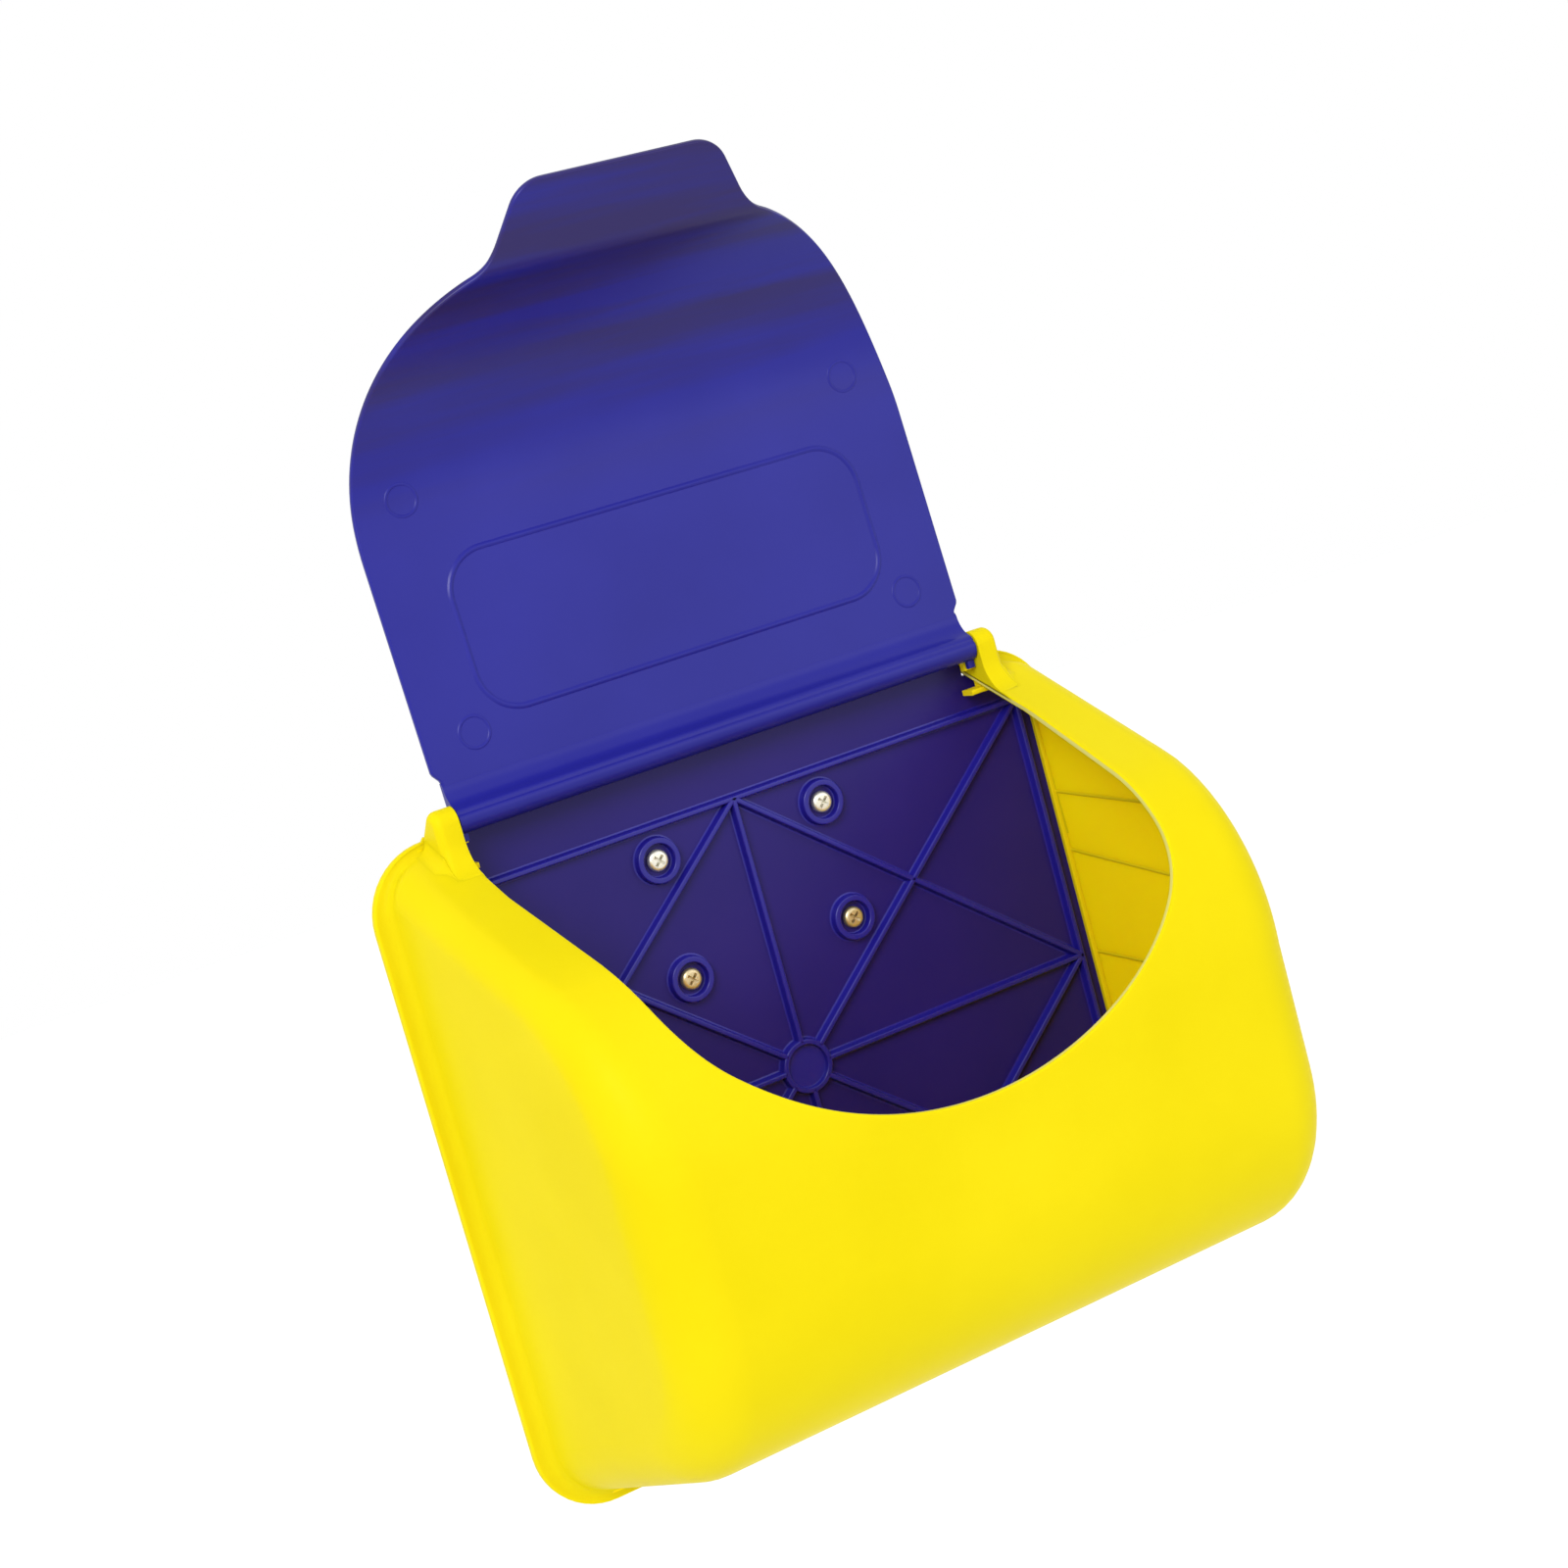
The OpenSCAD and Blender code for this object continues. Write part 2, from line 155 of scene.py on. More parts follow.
class Skin:
    """Faces given by their points in millimetres, welded into one mesh at the end.

    A face keeps the mark set when it was added: the number of its material on the piece.
    """

    def __init__(self):
        self.points = []
        self.faces = []
        self.marks = []
        self.mark = 0

    def add(self, points):
        """Adds points and gives the number of the first."""
        first = len(self.points)
        self.points.extend(Vector(p) for p in points)
        return first

    def grid(self, rows, closed=False):
        """Faces between neighbouring points of neighbouring rows; closed rows meet themselves."""
        width = len(rows[0])
        first = self.add([p for row in rows for p in row])
        for i in range(len(rows) - 1):
            for k in range(width if closed else width - 1):
                a = first + i * width + k
                b = first + i * width + (k + 1) % width
                self.faces.append((a, b, b + width, a + width))
                self.marks.append(self.mark)

    def cap(self, loop):
        """One face round a loop."""
        first = self.add(loop)
        self.faces.append(tuple(range(first, first + len(loop))))
        self.marks.append(self.mark)

    def tube(self, loops):
        """Closed solid through the loops, with a cap at each end."""
        self.grid(loops, closed=True)
        self.cap(loops[0])
        self.cap(loops[-1])

    def mirror(self):
        """Adds the same faces on the other side of the middle plane."""
        first = len(self.points)
        self.points.extend([Vector((-p.x, p.y, p.z)) for p in self.points])
        self.faces.extend([tuple(first + i for i in reversed(face)) for face in self.faces])
        self.marks *= 2

    def build(self, name):
        """The piece, with its points welded and its sharp edges marked."""
        mesh = bpy.data.meshes.new(name)
        mesh.from_pydata([p * MM for p in self.points], [], self.faces)
        mesh.polygons.foreach_set("material_index", self.marks)
        work = bmesh.new()
        work.from_mesh(mesh)
        bmesh.ops.remove_doubles(work, verts=work.verts, dist=WELD * MM)
        bmesh.ops.dissolve_degenerate(work, edges=work.edges, dist=WELD * MM / 4)
        bmesh.ops.recalc_face_normals(work, faces=work.faces)
        for face in work.faces:
            face.smooth = True
        for edge in work.edges:
            if len(edge.link_faces) == 2:
                edge.smooth = edge.calc_face_angle(0) < SHARP_ANGLE
        work.to_mesh(mesh)
        work.free()
        piece = bpy.data.objects.new(name, mesh)
        bpy.context.scene.collection.objects.link(piece)
        return piece


def quarter_turn(steps):
    """Angles from 0 to a right angle."""
    return [math.pi / 2 * i / steps for i in range(steps + 1)]


def rounded(a, corner, b, steps=4):
    """Points of a soft corner from a to b."""
    return [
        a * (1 - t) ** 2 + corner * (2 * t * (1 - t)) + b * t**2
        for t in (i / steps for i in range(steps + 1))
    ]


# ---------------------------------------------------------------- hood


def section(row, inset, u0):
    """(u, z) of the hood's side section, inset from its outside.

    A row is a stretch of the section and a place on it.
    """
    stretch, f = row
    if stretch == "nose":
        return NOSE_U + (NOSE_R - inset) * math.cos(f), NOSE_Z + (NOSE_R - inset) * math.sin(f)
    if stretch == "front":
        return HOOD_DEPTH - inset, lerp(NOSE_Z, CHIN_Z, f)
    if stretch == "chin":
        return CHIN_U + (CHIN_R - inset) * math.cos(f), CHIN_Z - (CHIN_R - inset) * math.sin(f)
    if stretch == "top":
        u = lerp(u0, NOSE_U + (NOSE_R - inset) * math.cos(NOSE_A), f)
        return u, HOOD_TOP - inset / math.cos(TOP_SLOPE) - u * math.tan(TOP_SLOPE)
    u = lerp(CHIN_U + (CHIN_R - inset) * math.cos(CHIN_A), u0, f)
    return u, -HOOD_DROP + inset / math.cos(FLOOR_SLOPE) + u * math.tan(FLOOR_SLOPE)


def row_at(z, inset, u0):
    """The row of the section's upper part at height z."""
    z_start = section(("top", 0), inset, u0)[1]
    z_nose = section(("nose", NOSE_A), inset, u0)[1]
    if z > z_nose:
        return "top", (z_start - z) / (z_start - z_nose)
    if z > NOSE_Z:
        return "nose", math.asin((z - NOSE_Z) / (NOSE_R - inset))
    return "front", (NOSE_Z - z) / (NOSE_Z - CHIN_Z)


def side_radius(row):
    """Radius between this row and the hood's side wall."""
    stretch, f = row
    if stretch == "top":
        return SIDE_R_TOP
    if stretch == "nose":
        return lerp(SIDE_R_FRONT, SIDE_R_TOP, f / NOSE_A)
    if stretch == "front":
        return SIDE_R_FRONT
    if stretch == "chin":
        return lerp(SIDE_R_FRONT, SIDE_R_FLOOR, f / CHIN_A)
    return SIDE_R_FLOOR


MID_STEPS, TURN_STEPS, SIDE_STEPS = 12, 12, 16


def hood_row(row, inset, u0, x_start):
    """One row of the hood's right half: front strip, rounding, then the side wall back to u0."""
    r = side_radius(row) - inset
    u, z = section(row, inset, u0)
    x_round = HALF_W - DRAFT * u - inset - r
    points = [at(lerp(x_start, x_round, j / MID_STEPS), u, z) for j in range(MID_STEPS)]
    for turn in quarter_turn(TURN_STEPS):
        u, z = section(row, inset + r * (1 - math.cos(turn)), u0)
        points.append(at(HALF_W - DRAFT * u - inset - r + r * math.sin(turn), u, z))
    for j in range(1, SIDE_STEPS + 1):
        back = lerp(u, u0, j / SIDE_STEPS)
        points.append(at(HALF_W - DRAFT * back - inset, back, z))
    return points


def mouth_outline(offset):
    """(point, outward direction) down the right half of the mouth's outline, as (x, z)."""
    end, side = math.radians(MOUTH_ARC_END), math.radians(MOUTH_SIDE_ANGLE)
    centre = Vector((0, MOUTH_R - MOUTH_LOW))
    r, corner_r = MOUTH_R + offset, MOUTH_CORNER_R + offset
    corner = centre + (MOUTH_R - MOUTH_CORNER_R) * Vector((math.sin(end), -math.cos(end)))
    foot = corner + corner_r * Vector((math.sin(side), -math.cos(side)))
    run = (MOUTH_HALF_W + offset - foot.x) / math.cos(side)
    up = Vector((math.cos(side), math.sin(side)))
    out = Vector((math.sin(side), -math.cos(side)))
    outline = [(foot + up * run * (1 - i / 10), out) for i in range(10)]
    for i in range(13):
        a = lerp(side, end, i / 12)
        out = Vector((math.sin(a), -math.cos(a)))
        outline.append((corner + corner_r * out, out))
    for i in range(1, 31):
        a = end * (1 - i / 30)
        out = Vector((math.sin(a), -math.cos(a)))
        outline.append((centre + r * out, out))
    return outline


STRAIGHT_STEPS = 10


def hood_rows(inset, u0, offset):
    """Rows of the hood and the x each starts at: along the mouth's edge, then from the middle."""
    outline = mouth_outline(offset)
    top = row_at(outline[0][0].y, inset, u0)[1]
    x_side = MOUTH_HALF_W + offset
    rows = [(("top", top * i / STRAIGHT_STEPS), x_side) for i in range(STRAIGHT_STEPS)]
    rows += [(row_at(p.y, inset, u0), p.x) for p, _ in outline]
    low = rows[-1][0][1] if rows[-1][0][0] == "front" else 0
    rows += [(("front", lerp(low, 1, i / 5)), 0) for i in range(1, 5)]
    rows += [(("chin", CHIN_A * i / 18), 0) for i in range(19)]
    rows += [(("floor", i / 8), 0) for i in range(1, 9)]
    return rows


def mouth_edge(inset, u0):
    """The mouth's sharp edge on this skin, with the outline's outward direction at each row."""
    outline = mouth_outline(0)
    side = Vector((1, 0))
    matched = hood_rows(inset, u0, 0)[: STRAIGHT_STEPS + len(outline)]
    directions = [side] * STRAIGHT_STEPS + [out for _, out in outline]
    return [
        (at(x, *section(row, inset, u0)), Vector((d.x, 0, d.y)))
        for (row, x), d in zip(matched, directions)
    ]


def contour(place, u):
    """Point of the hood's outline at distance u, before the flange.

    A place is a stretch of the outline and where on it.
    """
    stretch, f = place
    near = smooth(max(0, min(1, (SKIN_START - u) / (SKIN_START - FLANGE_T))))
    half = HALF_W - DRAFT * u
    top = HOOD_TOP - u * math.tan(TOP_SLOPE)
    bottom = -HOOD_DROP + u * math.tan(FLOOR_SLOPE)
    r_top = lerp(SIDE_R_TOP, WALL_R_TOP, near)
    r_floor = lerp(SIDE_R_FLOOR, WALL_R_FLOOR, near)
    high, low = r_top / math.cos(TOP_SLOPE), r_floor / math.cos(FLOOR_SLOPE)
    if stretch == "top":
        return at(lerp(MOUTH_HALF_W + EDGE_R, half - r_top, f), u, top)
    if stretch == "top_turn":
        return at(half - r_top + r_top * math.sin(f), u, top - high * (1 - math.cos(f)))
    if stretch == "side":
        return at(half, u, lerp(top - high, bottom + low, f))
    if stretch == "floor_turn":
        return at(half - r_floor + r_floor * math.cos(f), u, bottom + low * (1 - math.sin(f)))
    return at(lerp(half - r_floor, 0, f), u, bottom)


def rim(place):
    """(x, z) of the flange's outer edge at a place."""
    stretch, f = place
    x_turn = FLANGE_HALF_W - FLANGE_R
    z_top, z_low = FLANGE_TOP - FLANGE_R, FLANGE_BOTTOM + FLANGE_R
    if stretch == "top":
        return Vector((lerp(MOUTH_HALF_W + EDGE_R, x_turn, f), FLANGE_TOP))
    if stretch == "top_turn":
        return Vector((x_turn + FLANGE_R * math.sin(f), z_top + FLANGE_R * math.cos(f)))
    if stretch == "side":
        return Vector((FLANGE_HALF_W, lerp(z_top, z_low, f)))
    if stretch == "floor_turn":
        return Vector((x_turn + FLANGE_R * math.cos(f), z_low - FLANGE_R * math.sin(f)))
    return Vector((lerp(x_turn, 0, f), FLANGE_BOTTOM))


def flange_profile(place):
    """Points from the hood's skin over the flange's fillet, face and rim to the wall plane."""
    root = contour(place, FLANGE_T)
    edge = rim(place)
    out = Vector((edge.x - root.x, 0, edge.y - root.z))
    reach = out.length
    out.normalize()
    fillet = min(FLANGE_FILLET, 0.78 * reach)
    start = FLANGE_T + fillet
    points = [contour(place, lerp(SKIN_START, start, i / 5)) for i in range(5)]
    points += rounded(contour(place, start), root, root + out * fillet, 8)
    tip = root + out * reach
    back = tip + Vector((0, FLANGE_T, 0))
    points += rounded(tip - out * RIM_R, tip, tip + Vector((0, RIM_R, 0)), 5)
    points += rounded(back - Vector((0, RIM_R / 2, 0)), back, back - out * RIM_R / 2, 3)
    return points


def loop_places(rows):
    """Places round the hood's outline that match the border of its skin at the wall end."""
    places = [("top", j / MID_STEPS) for j in range(MID_STEPS)]
    places += [("top_turn", turn) for turn in quarter_turn(TURN_STEPS)]
    heights = [hood_row(row, 0, SKIN_START, x)[-1].z for row, x in rows]
    places += [("side", (heights[0] - z) / (heights[0] - heights[-1])) for z in heights[1:-1]]
    places += [("floor_turn", turn) for turn in quarter_turn(TURN_STEPS)]
    places += [("floor", j / MID_STEPS) for j in range(1, MID_STEPS + 1)]
    return places


def border(grid):
    """Border of a skin's grid at the wall end, from the mouth's side to the middle of the floor."""
    turn_end = MID_STEPS + TURN_STEPS
    loop = grid[0][: turn_end + 1]
    loop += [row[-1] for row in grid[1:-1]]
    return loop + grid[-1][turn_end::-1]


def inward(edges, goals):
    """Directions from a sharp edge into the cut face: square to the edge, towards the goals."""
    directions = []
    last = len(edges) - 1
    for i, ((p, out), goal) in enumerate(zip(edges, goals)):
        along = edges[i + 1][0] - edges[max(i - 1, 0)][0] if i < last else Vector((1, 0, 0))
        w = along.cross(out).normalized()
        directions.append(w if w.dot(goal - p) > 0 else -w)
    return directions


# Material numbers on the hood; 0 is its outside
INSIDE_FACE, CUT_FACE = 1, 2


def hood_half(skin):
    """Right half of the hood: outer skin, inner skin, flange, and the mouth's cut face."""
    outer_rows = hood_rows(0, SKIN_START, EDGE_R)
    inner_rows = hood_rows(WALL, 0, INNER_EDGE_R)
    outer = [hood_row(row, 0, SKIN_START, x) for row, x in outer_rows]
    inner = [hood_row(row, WALL, 0, x) for row, x in inner_rows]
    skin.grid(outer)
    skin.grid(inner)
    places = loop_places(outer_rows)
    flange = [flange_profile(place) for place in places]
    skin.grid(flange)
    skin.grid([[profile[-1], p] for profile, p in zip(flange, border(inner))])

    outer_edge = mouth_edge(0, SKIN_START)
    inner_edge = mouth_edge(WALL, 0)
    side = Vector((1, 0, 0))
    flange_end = list(reversed(flange[0][1:]))
    extra = len(flange_end)
    outer_points = [p for p, _ in outer_edge]
    inner_points = [p for p, _ in inner_edge]
    outer_edge = [(Vector((MOUTH_HALF_W, p.y, p.z)), side) for p in flange_end] + outer_edge
    outer_start = flange_end + [row[0] for row in outer]
    outer_in = inward(outer_edge, [inner_points[0]] * extra + inner_points)
    inner_in = inward(inner_edge, outer_points)
    outer_strip = [
        rounded(s, p, p + w * EDGE_R) for s, (p, _), w in zip(outer_start, outer_edge, outer_in)
    ]
    inner_strip = [
        rounded(row[0], p, p + w * INNER_EDGE_R)
        for row, (p, _), w in zip(inner, inner_edge, inner_in)
    ]
    skin.grid(outer_strip)
    skin.grid(inner_strip)
    skin.mark = CUT_FACE
    straight = STRAIGHT_STEPS + 1
    outer_side = [row[-1] for row in outer_strip[: extra + straight]]
    inner_side = [row[-1] for row in inner_strip[:straight]]
    skin.cap(outer_side + inner_side[::-1])
    skin.cap(outer_strip[0] + inner_strip[0][::-1])
    cut_rows = zip(outer_strip[extra + STRAIGHT_STEPS :], inner_strip[STRAIGHT_STEPS:])
    skin.grid([[outer_row[-1], inner_row[-1]] for outer_row, inner_row in cut_rows])
    skin.mark = 0


# ---------------------------------------------------------------- simple solids


def left_sides(outline):
    """At each point of a closed outline: the direction to its left, and that of its next side."""
    count = len(outline)
    directions = []
    for i in range(count):
        before, here, after = (Vector(outline[(i + k) % count]) for k in (-1, 0, 1))
        n1, n2 = (here - before).normalized(), (after - here).normalized()
        across = Vector((-(n1.y + n2.y), n1.x + n2.x)).normalized()
        directions.append((across, Vector((-n2.y, n2.x))))
    return directions


def prism(skin, outline, place, depth, edge, edge_back):
    """Closed solid of an outline, extruded by depth; place(a, b, d) puts a point of it in space."""
    corners = [(Vector(p), n, side) for p, (n, side) in zip(outline, left_sides(outline))]

    def inset(amount):
        return [p + n * amount * (1 / max(0.5, n.dot(side))) for p, n, side in corners]

    turn = quarter_turn(3)
    levels = [
        (edge_back * (1 - math.cos(a)), edge_back * (1 - math.sin(a))) for a in reversed(turn)
    ]
    levels += [(edge * (1 - math.cos(a)), depth - edge * (1 - math.sin(a))) for a in turn]
    skin.tube([[place(q.x, q.y, d) for q in inset(i)] for i, d in levels])


def turned(skin, profile, place, steps, closed=False):
    """Solid turned from a profile of (radius, distance along the axis).

    place(a, b, d) puts a point of it in space. A closed profile makes a ring.
    """
    angles = [math.tau * i / steps for i in range(steps)]
    rings = [[place(r * math.cos(a), r * math.sin(a), d) for a in angles] for r, d in profile]
    if closed:
        skin.grid(rings + rings[:1], closed=True)
    else:
        skin.tube(rings)


def arc(cx, cy, r, start, end, steps):
    """Points of an arc, with its angles in degrees."""
    angles = [math.radians(lerp(start, end, i / steps)) for i in range(steps + 1)]
    return [(cx + r * math.cos(a), cy + r * math.sin(a)) for a in angles]


def block(skin, x, u, z, edge):
    """Rounded block between pairs of x, u and z."""
    outline = [(x[0], z[0]), (x[1], z[0]), (x[1], z[1]), (x[0], z[1])]
    prism(skin, outline, lambda a, b, d: at(a, u[0] + d, b), u[1] - u[0], edge, edge)


# ---------------------------------------------------------------- hood details

HINGE_U, HINGE_Z = 12, 54
EAR_R, EAR_W, EAR_FILLET, EAR_SOFT, EAR_FLARE = 5, 8, 12, 2.8, 4
EAR_SIDE = MOUTH_HALF_W + EAR_W
STOP_IN, STOP_T, STOP_GAP, STOP_U = 3.4, 2.6, 0.6, (7.5, 10.7)
TONGUE_IN, TONGUE_Z, TONGUE_T, TONGUE_D, POST_T = 4, 38, 1.8, 7, 5
PLATE_T, RIB_H, RIB_W = 2.8, 2.8, 2
SEAT_W, SEAT_T = 1.8, 2
CATCH_LEN, CATCH_T, CATCH_IN = 14, 1.2, 1.6
CATCH_Z = (-10, -120)


def ear_outline():
    """(u, z) of an ear: flange edge, over the hinge, then a fillet down to the top slope."""
    reach = Vector((HINGE_U, HINGE_Z - FLANGE_TOP))
    lean = math.degrees(math.atan2(reach.y, reach.x) + math.asin(EAR_R / reach.length))
    front = HINGE_U + EAR_R
    foot_u = front + EAR_FILLET
    foot_z = HOOD_TOP - foot_u * math.tan(TOP_SLOPE)
    centre_z = foot_z + EAR_FILLET / math.cos(TOP_SLOPE)
    outline = [(0.05, HOOD_TOP - WALL / 2), (0.05, FLANGE_TOP)]
    outline += arc(HINGE_U, HINGE_Z, EAR_R, 90 + lean, 0, 16)
    outline += arc(foot_u, centre_z, EAR_FILLET, 180, 180 + math.degrees(NOSE_A), 10)
    outline.append((foot_u, foot_z - WALL / 2))
    return outline


def ear(skin):
    """An ear, with a soft outer edge that fades out where it runs into the top slope."""
    outline = ear_outline()
    crest = len(outline) - 2
    softness = [0.2] + [EAR_SOFT * min(1, (crest - i) / 8) for i in range(crest + 1)] + [0.0]
    outline.reverse()
    softness.reverse()
    loops = []
    for a in quarter_turn(6):
        loop = []
        for q, (n, _), soft in zip(outline, left_sides(outline), softness):
            inner = Vector(q) + n * soft * (1 - math.sin(a))
            loop.append(at(EAR_SIDE - soft * (1 - math.cos(a)), inner.x, inner.y))
        loops.insert(0, loop)
    skin.tube([[at(MOUTH_HALF_W, *q) for q in outline]] + loops)


def ear_flare(skin):
    """Concave fillet where an ear's outer side meets the flange and the top slope."""
    crest = ear_outline()[1:-1]
    for start, end in ((0.3, FLANGE_T), (FLANGE_T, crest[-1][0])):
        rows = []
        for i in range(17):
            u = lerp(start, end, i / 16)
            base = FLANGE_TOP if start < FLANGE_T else HOOD_TOP - u * math.tan(TOP_SLOPE)
            height = 0
            for (u0, z0), (u1, z1) in zip(crest, crest[1:]):
                if u0 <= u <= u1 and u1 > u0:
                    height = lerp(z0, z1, (u - u0) / (u1 - u0)) - base
            r = min(EAR_FLARE, 0.04 + 0.55 * height)
            curve = [(EAR_SIDE - 1.5, base - 0.8), (EAR_SIDE - 1.5, base + 0.6 * r)]
            curve += arc(EAR_SIDE + r, base + r, r, 180, 270, 8)
            curve.append((EAR_SIDE + r, base - 0.8))
            rows.append([at(x, u, z) for x, z in curve])
        skin.tube(rows)


# Heights of the inner lines at the plate and at their front end
WALL_LINES = ((-4, -8), (-25, -34), (-62, -66))
WALL_LINE_END = 90
WALL_LINE_BUMP = ((0.3, 0.8), (-0.05, 0.5), (-0.2, 0.2))


def wall_lines(skin):
    """Faint raised lines across the inside of the side wall."""
    bump = [*WALL_LINE_BUMP, *((dx, -dz) for dx, dz in reversed(WALL_LINE_BUMP))]
    for z_back, z_front in WALL_LINES:
        rows = []
        for i in range(13):
            u = lerp(PLATE_T + SEAT_T, WALL_LINE_END, i / 12)
            x = HALF_W - DRAFT * u - WALL
            z = lerp(z_back, z_front, i / 12)
            rows.append([at(x + dx, u, z + dz) for dx, dz in bump])
        skin.tube(rows)


def hood_details(skin):
    """Right-hand inner lines, lid stop, tongue, catches, and the ledge the plate seats against."""
    wall_lines(skin)
    stop_x = (MOUTH_HALF_W - STOP_IN, MOUTH_HALF_W + 1)
    stop_top = HINGE_Z - BARREL_R - STOP_GAP
    block(skin, stop_x, STOP_U, (stop_top - STOP_T, stop_top), 0.4)
    tongue_x = (MOUTH_HALF_W - TONGUE_IN, MOUTH_HALF_W + 9)
    tongue_u = (PLATE_T + RIB_H, PLATE_T + RIB_H + TONGUE_D)
    post_x = (MOUTH_HALF_W + 1.5, MOUTH_HALF_W + 7.5)
    block(skin, tongue_x, tongue_u, (TONGUE_Z, TONGUE_Z + TONGUE_T), 0.5)
    block(skin, post_x, tongue_u, (TONGUE_Z, TONGUE_Z + POST_T), 0.4)
    inside = HALF_W - WALL
    catch_x = (inside - CATCH_IN, inside + 1)
    for z in CATCH_Z:
        block(skin, catch_x, (0, CATCH_T), (z - CATCH_LEN / 2, z + CATCH_LEN / 2), 0.3)
    ledge = [("side", i / 24) for i in range(25)]
    ledge += [("floor_turn", turn) for turn in quarter_turn(12)[1:]]
    ledge += [("floor", i / 8) for i in range(1, 9)]
    rows = []
    for place in ledge:
        p, q = contour(place, PLATE_T), rim(place)
        out = Vector((q.x - p.x, 0, q.y - p.z)).normalized()
        wall_side, tip = p - out * (WALL - 0.5), p - out * (WALL + SEAT_W)
        step = Vector((0, -SEAT_T, 0))
        back = rounded(tip + out * 0.4, tip, tip + step * 0.2, 2)
        front = rounded(tip + step * 0.75, tip + step, tip + step + out * 0.5, 3)
        rows.append([wall_side, *back, *front, wall_side + step])
    skin.grid(rows)
    skin.grid([[row[0], row[-1]] for row in rows])
    skin.cap(rows[0])


# ---------------------------------------------------------------- lid

LID_HALF_W = 97.5
LID_LEN, LID_T, LID_BACK, LID_GAP, LID_LEAN = 193, 2.2, 2, 1.2, math.radians(4)
LID_ROOT_W = MOUTH_HALF_W - 0.8
LID_ROOT_LEN, LID_END = 13, 82
TAB_HALF, TAB_CORNER, TAB_NECK = 26, 12, 24
TAB_FLARE, TAB_KICK, TAB_KICK_R = math.radians(25), math.radians(27), 12
LID_EDGE = 0.7
BARREL_R, BARREL_FILLET = 4.5, 8
BARREL_END = MOUTH_HALF_W - 0.5
PIN_R, PIN_LEN = 2.5, 5
HEEL_R, HEEL_T, HEEL_W = 7, 2, 2.6

LID_INNER_R = NOSE_R + LID_GAP
nose_from_hinge = Vector((NOSE_U - HINGE_U, HINGE_Z - NOSE_Z))
LID_FLAT = math.sqrt(nose_from_hinge.length**2 - (LID_INNER_R - LID_BACK) ** 2)
nose_slope = math.atan2(nose_from_hinge.y, nose_from_hinge.x)
CLOSED_SLOPE = nose_slope - math.atan2(LID_INNER_R - LID_BACK, LID_FLAT)
CURL = math.pi / 2 - CLOSED_SLOPE
KICK_START = LID_FLAT + LID_INNER_R * CURL
KICK_LEN = TAB_KICK_R * TAB_KICK


def lid_section(s):
    """(forwards, up, turn) of the lid's inner face at distance s from the hinge, not leaning."""
    if s < LID_FLAT:
        return -LID_BACK, s, 0
    a = min((s - LID_FLAT) / LID_INNER_R, CURL)
    forward = -LID_BACK + LID_INNER_R * (1 - math.cos(a))
    up = LID_FLAT + LID_INNER_R * math.sin(a)
    if s < KICK_START:
        return forward, up, a
    kick = min((s - KICK_START) / TAB_KICK_R, TAB_KICK)
    forward += TAB_KICK_R * (math.cos(CURL - kick) - math.cos(CURL))
    up += TAB_KICK_R * (math.sin(CURL) - math.sin(CURL - kick))
    rest = max(0, s - KICK_START - KICK_LEN)
    turn = CURL - kick
    return forward + rest * math.sin(turn), up + rest * math.cos(turn), turn


def from_hinge(x, forward, up):
    """Point of the open lid, from its own frame at the hinge."""
    c, s = math.cos(LID_LEAN), math.sin(LID_LEAN)
    return at(x, HINGE_U + forward * c - up * s, HINGE_Z + up * c + forward * s)


def lid_at(x, s, depth):
    """Point of the lid: depth 0 is its inner face, LID_T its outer face, below 0 stands proud."""
    forward, up, turn = lid_section(s)
    return from_hinge(x, forward - depth * math.cos(turn), up + depth * math.sin(turn))


def lid_outline():
    """(point, outward direction) up the right side of the lid to its tip, as (x, s)."""
    side = Vector((1, 0))
    points = [(Vector((LID_ROOT_W, s)), side) for s in (1, 5, 9, LID_ROOT_LEN - 1)]
    for t in (0.25, 0.5, 0.75, 1):
        x = lerp(LID_ROOT_W, LID_HALF_W, smooth(t))
        points.append((Vector((x, LID_ROOT_LEN - 1 + 4 * t)), side))
    for i in range(1, 15):
        points.append((Vector((LID_HALF_W, lerp(LID_ROOT_LEN + 3, LID_END, i / 14))), side))
    centre = Vector((0, LID_END))
    corner = Vector((TAB_HALF, LID_LEN - TAB_CORNER))
    out = heading(TAB_FLARE)
    down = Vector((math.sin(TAB_FLARE), -math.cos(TAB_FLARE)))
    start = corner + (TAB_CORNER + TAB_NECK) * out - centre
    run = -start.dot(down) - math.sqrt(
        start.dot(down) ** 2 - start.length_squared + (LID_HALF_W + TAB_NECK) ** 2
    )
    neck = centre + start + run * down
    neck_a = math.atan2(neck.y - LID_END, neck.x)
    for i in range(1, 41):
        n = heading(neck_a * i / 40)
        points.append((centre + LID_HALF_W * n, n))
    for i in range(1, 13):
        n = heading(lerp(neck_a, TAB_FLARE, i / 12))
        points.append((neck - TAB_NECK * n, n))
    for i in range(13):
        n = heading(lerp(TAB_FLARE, math.pi / 2, i / 12))
        points.append((corner + TAB_CORNER * n, n))
    return points


LID_COLUMNS = 28


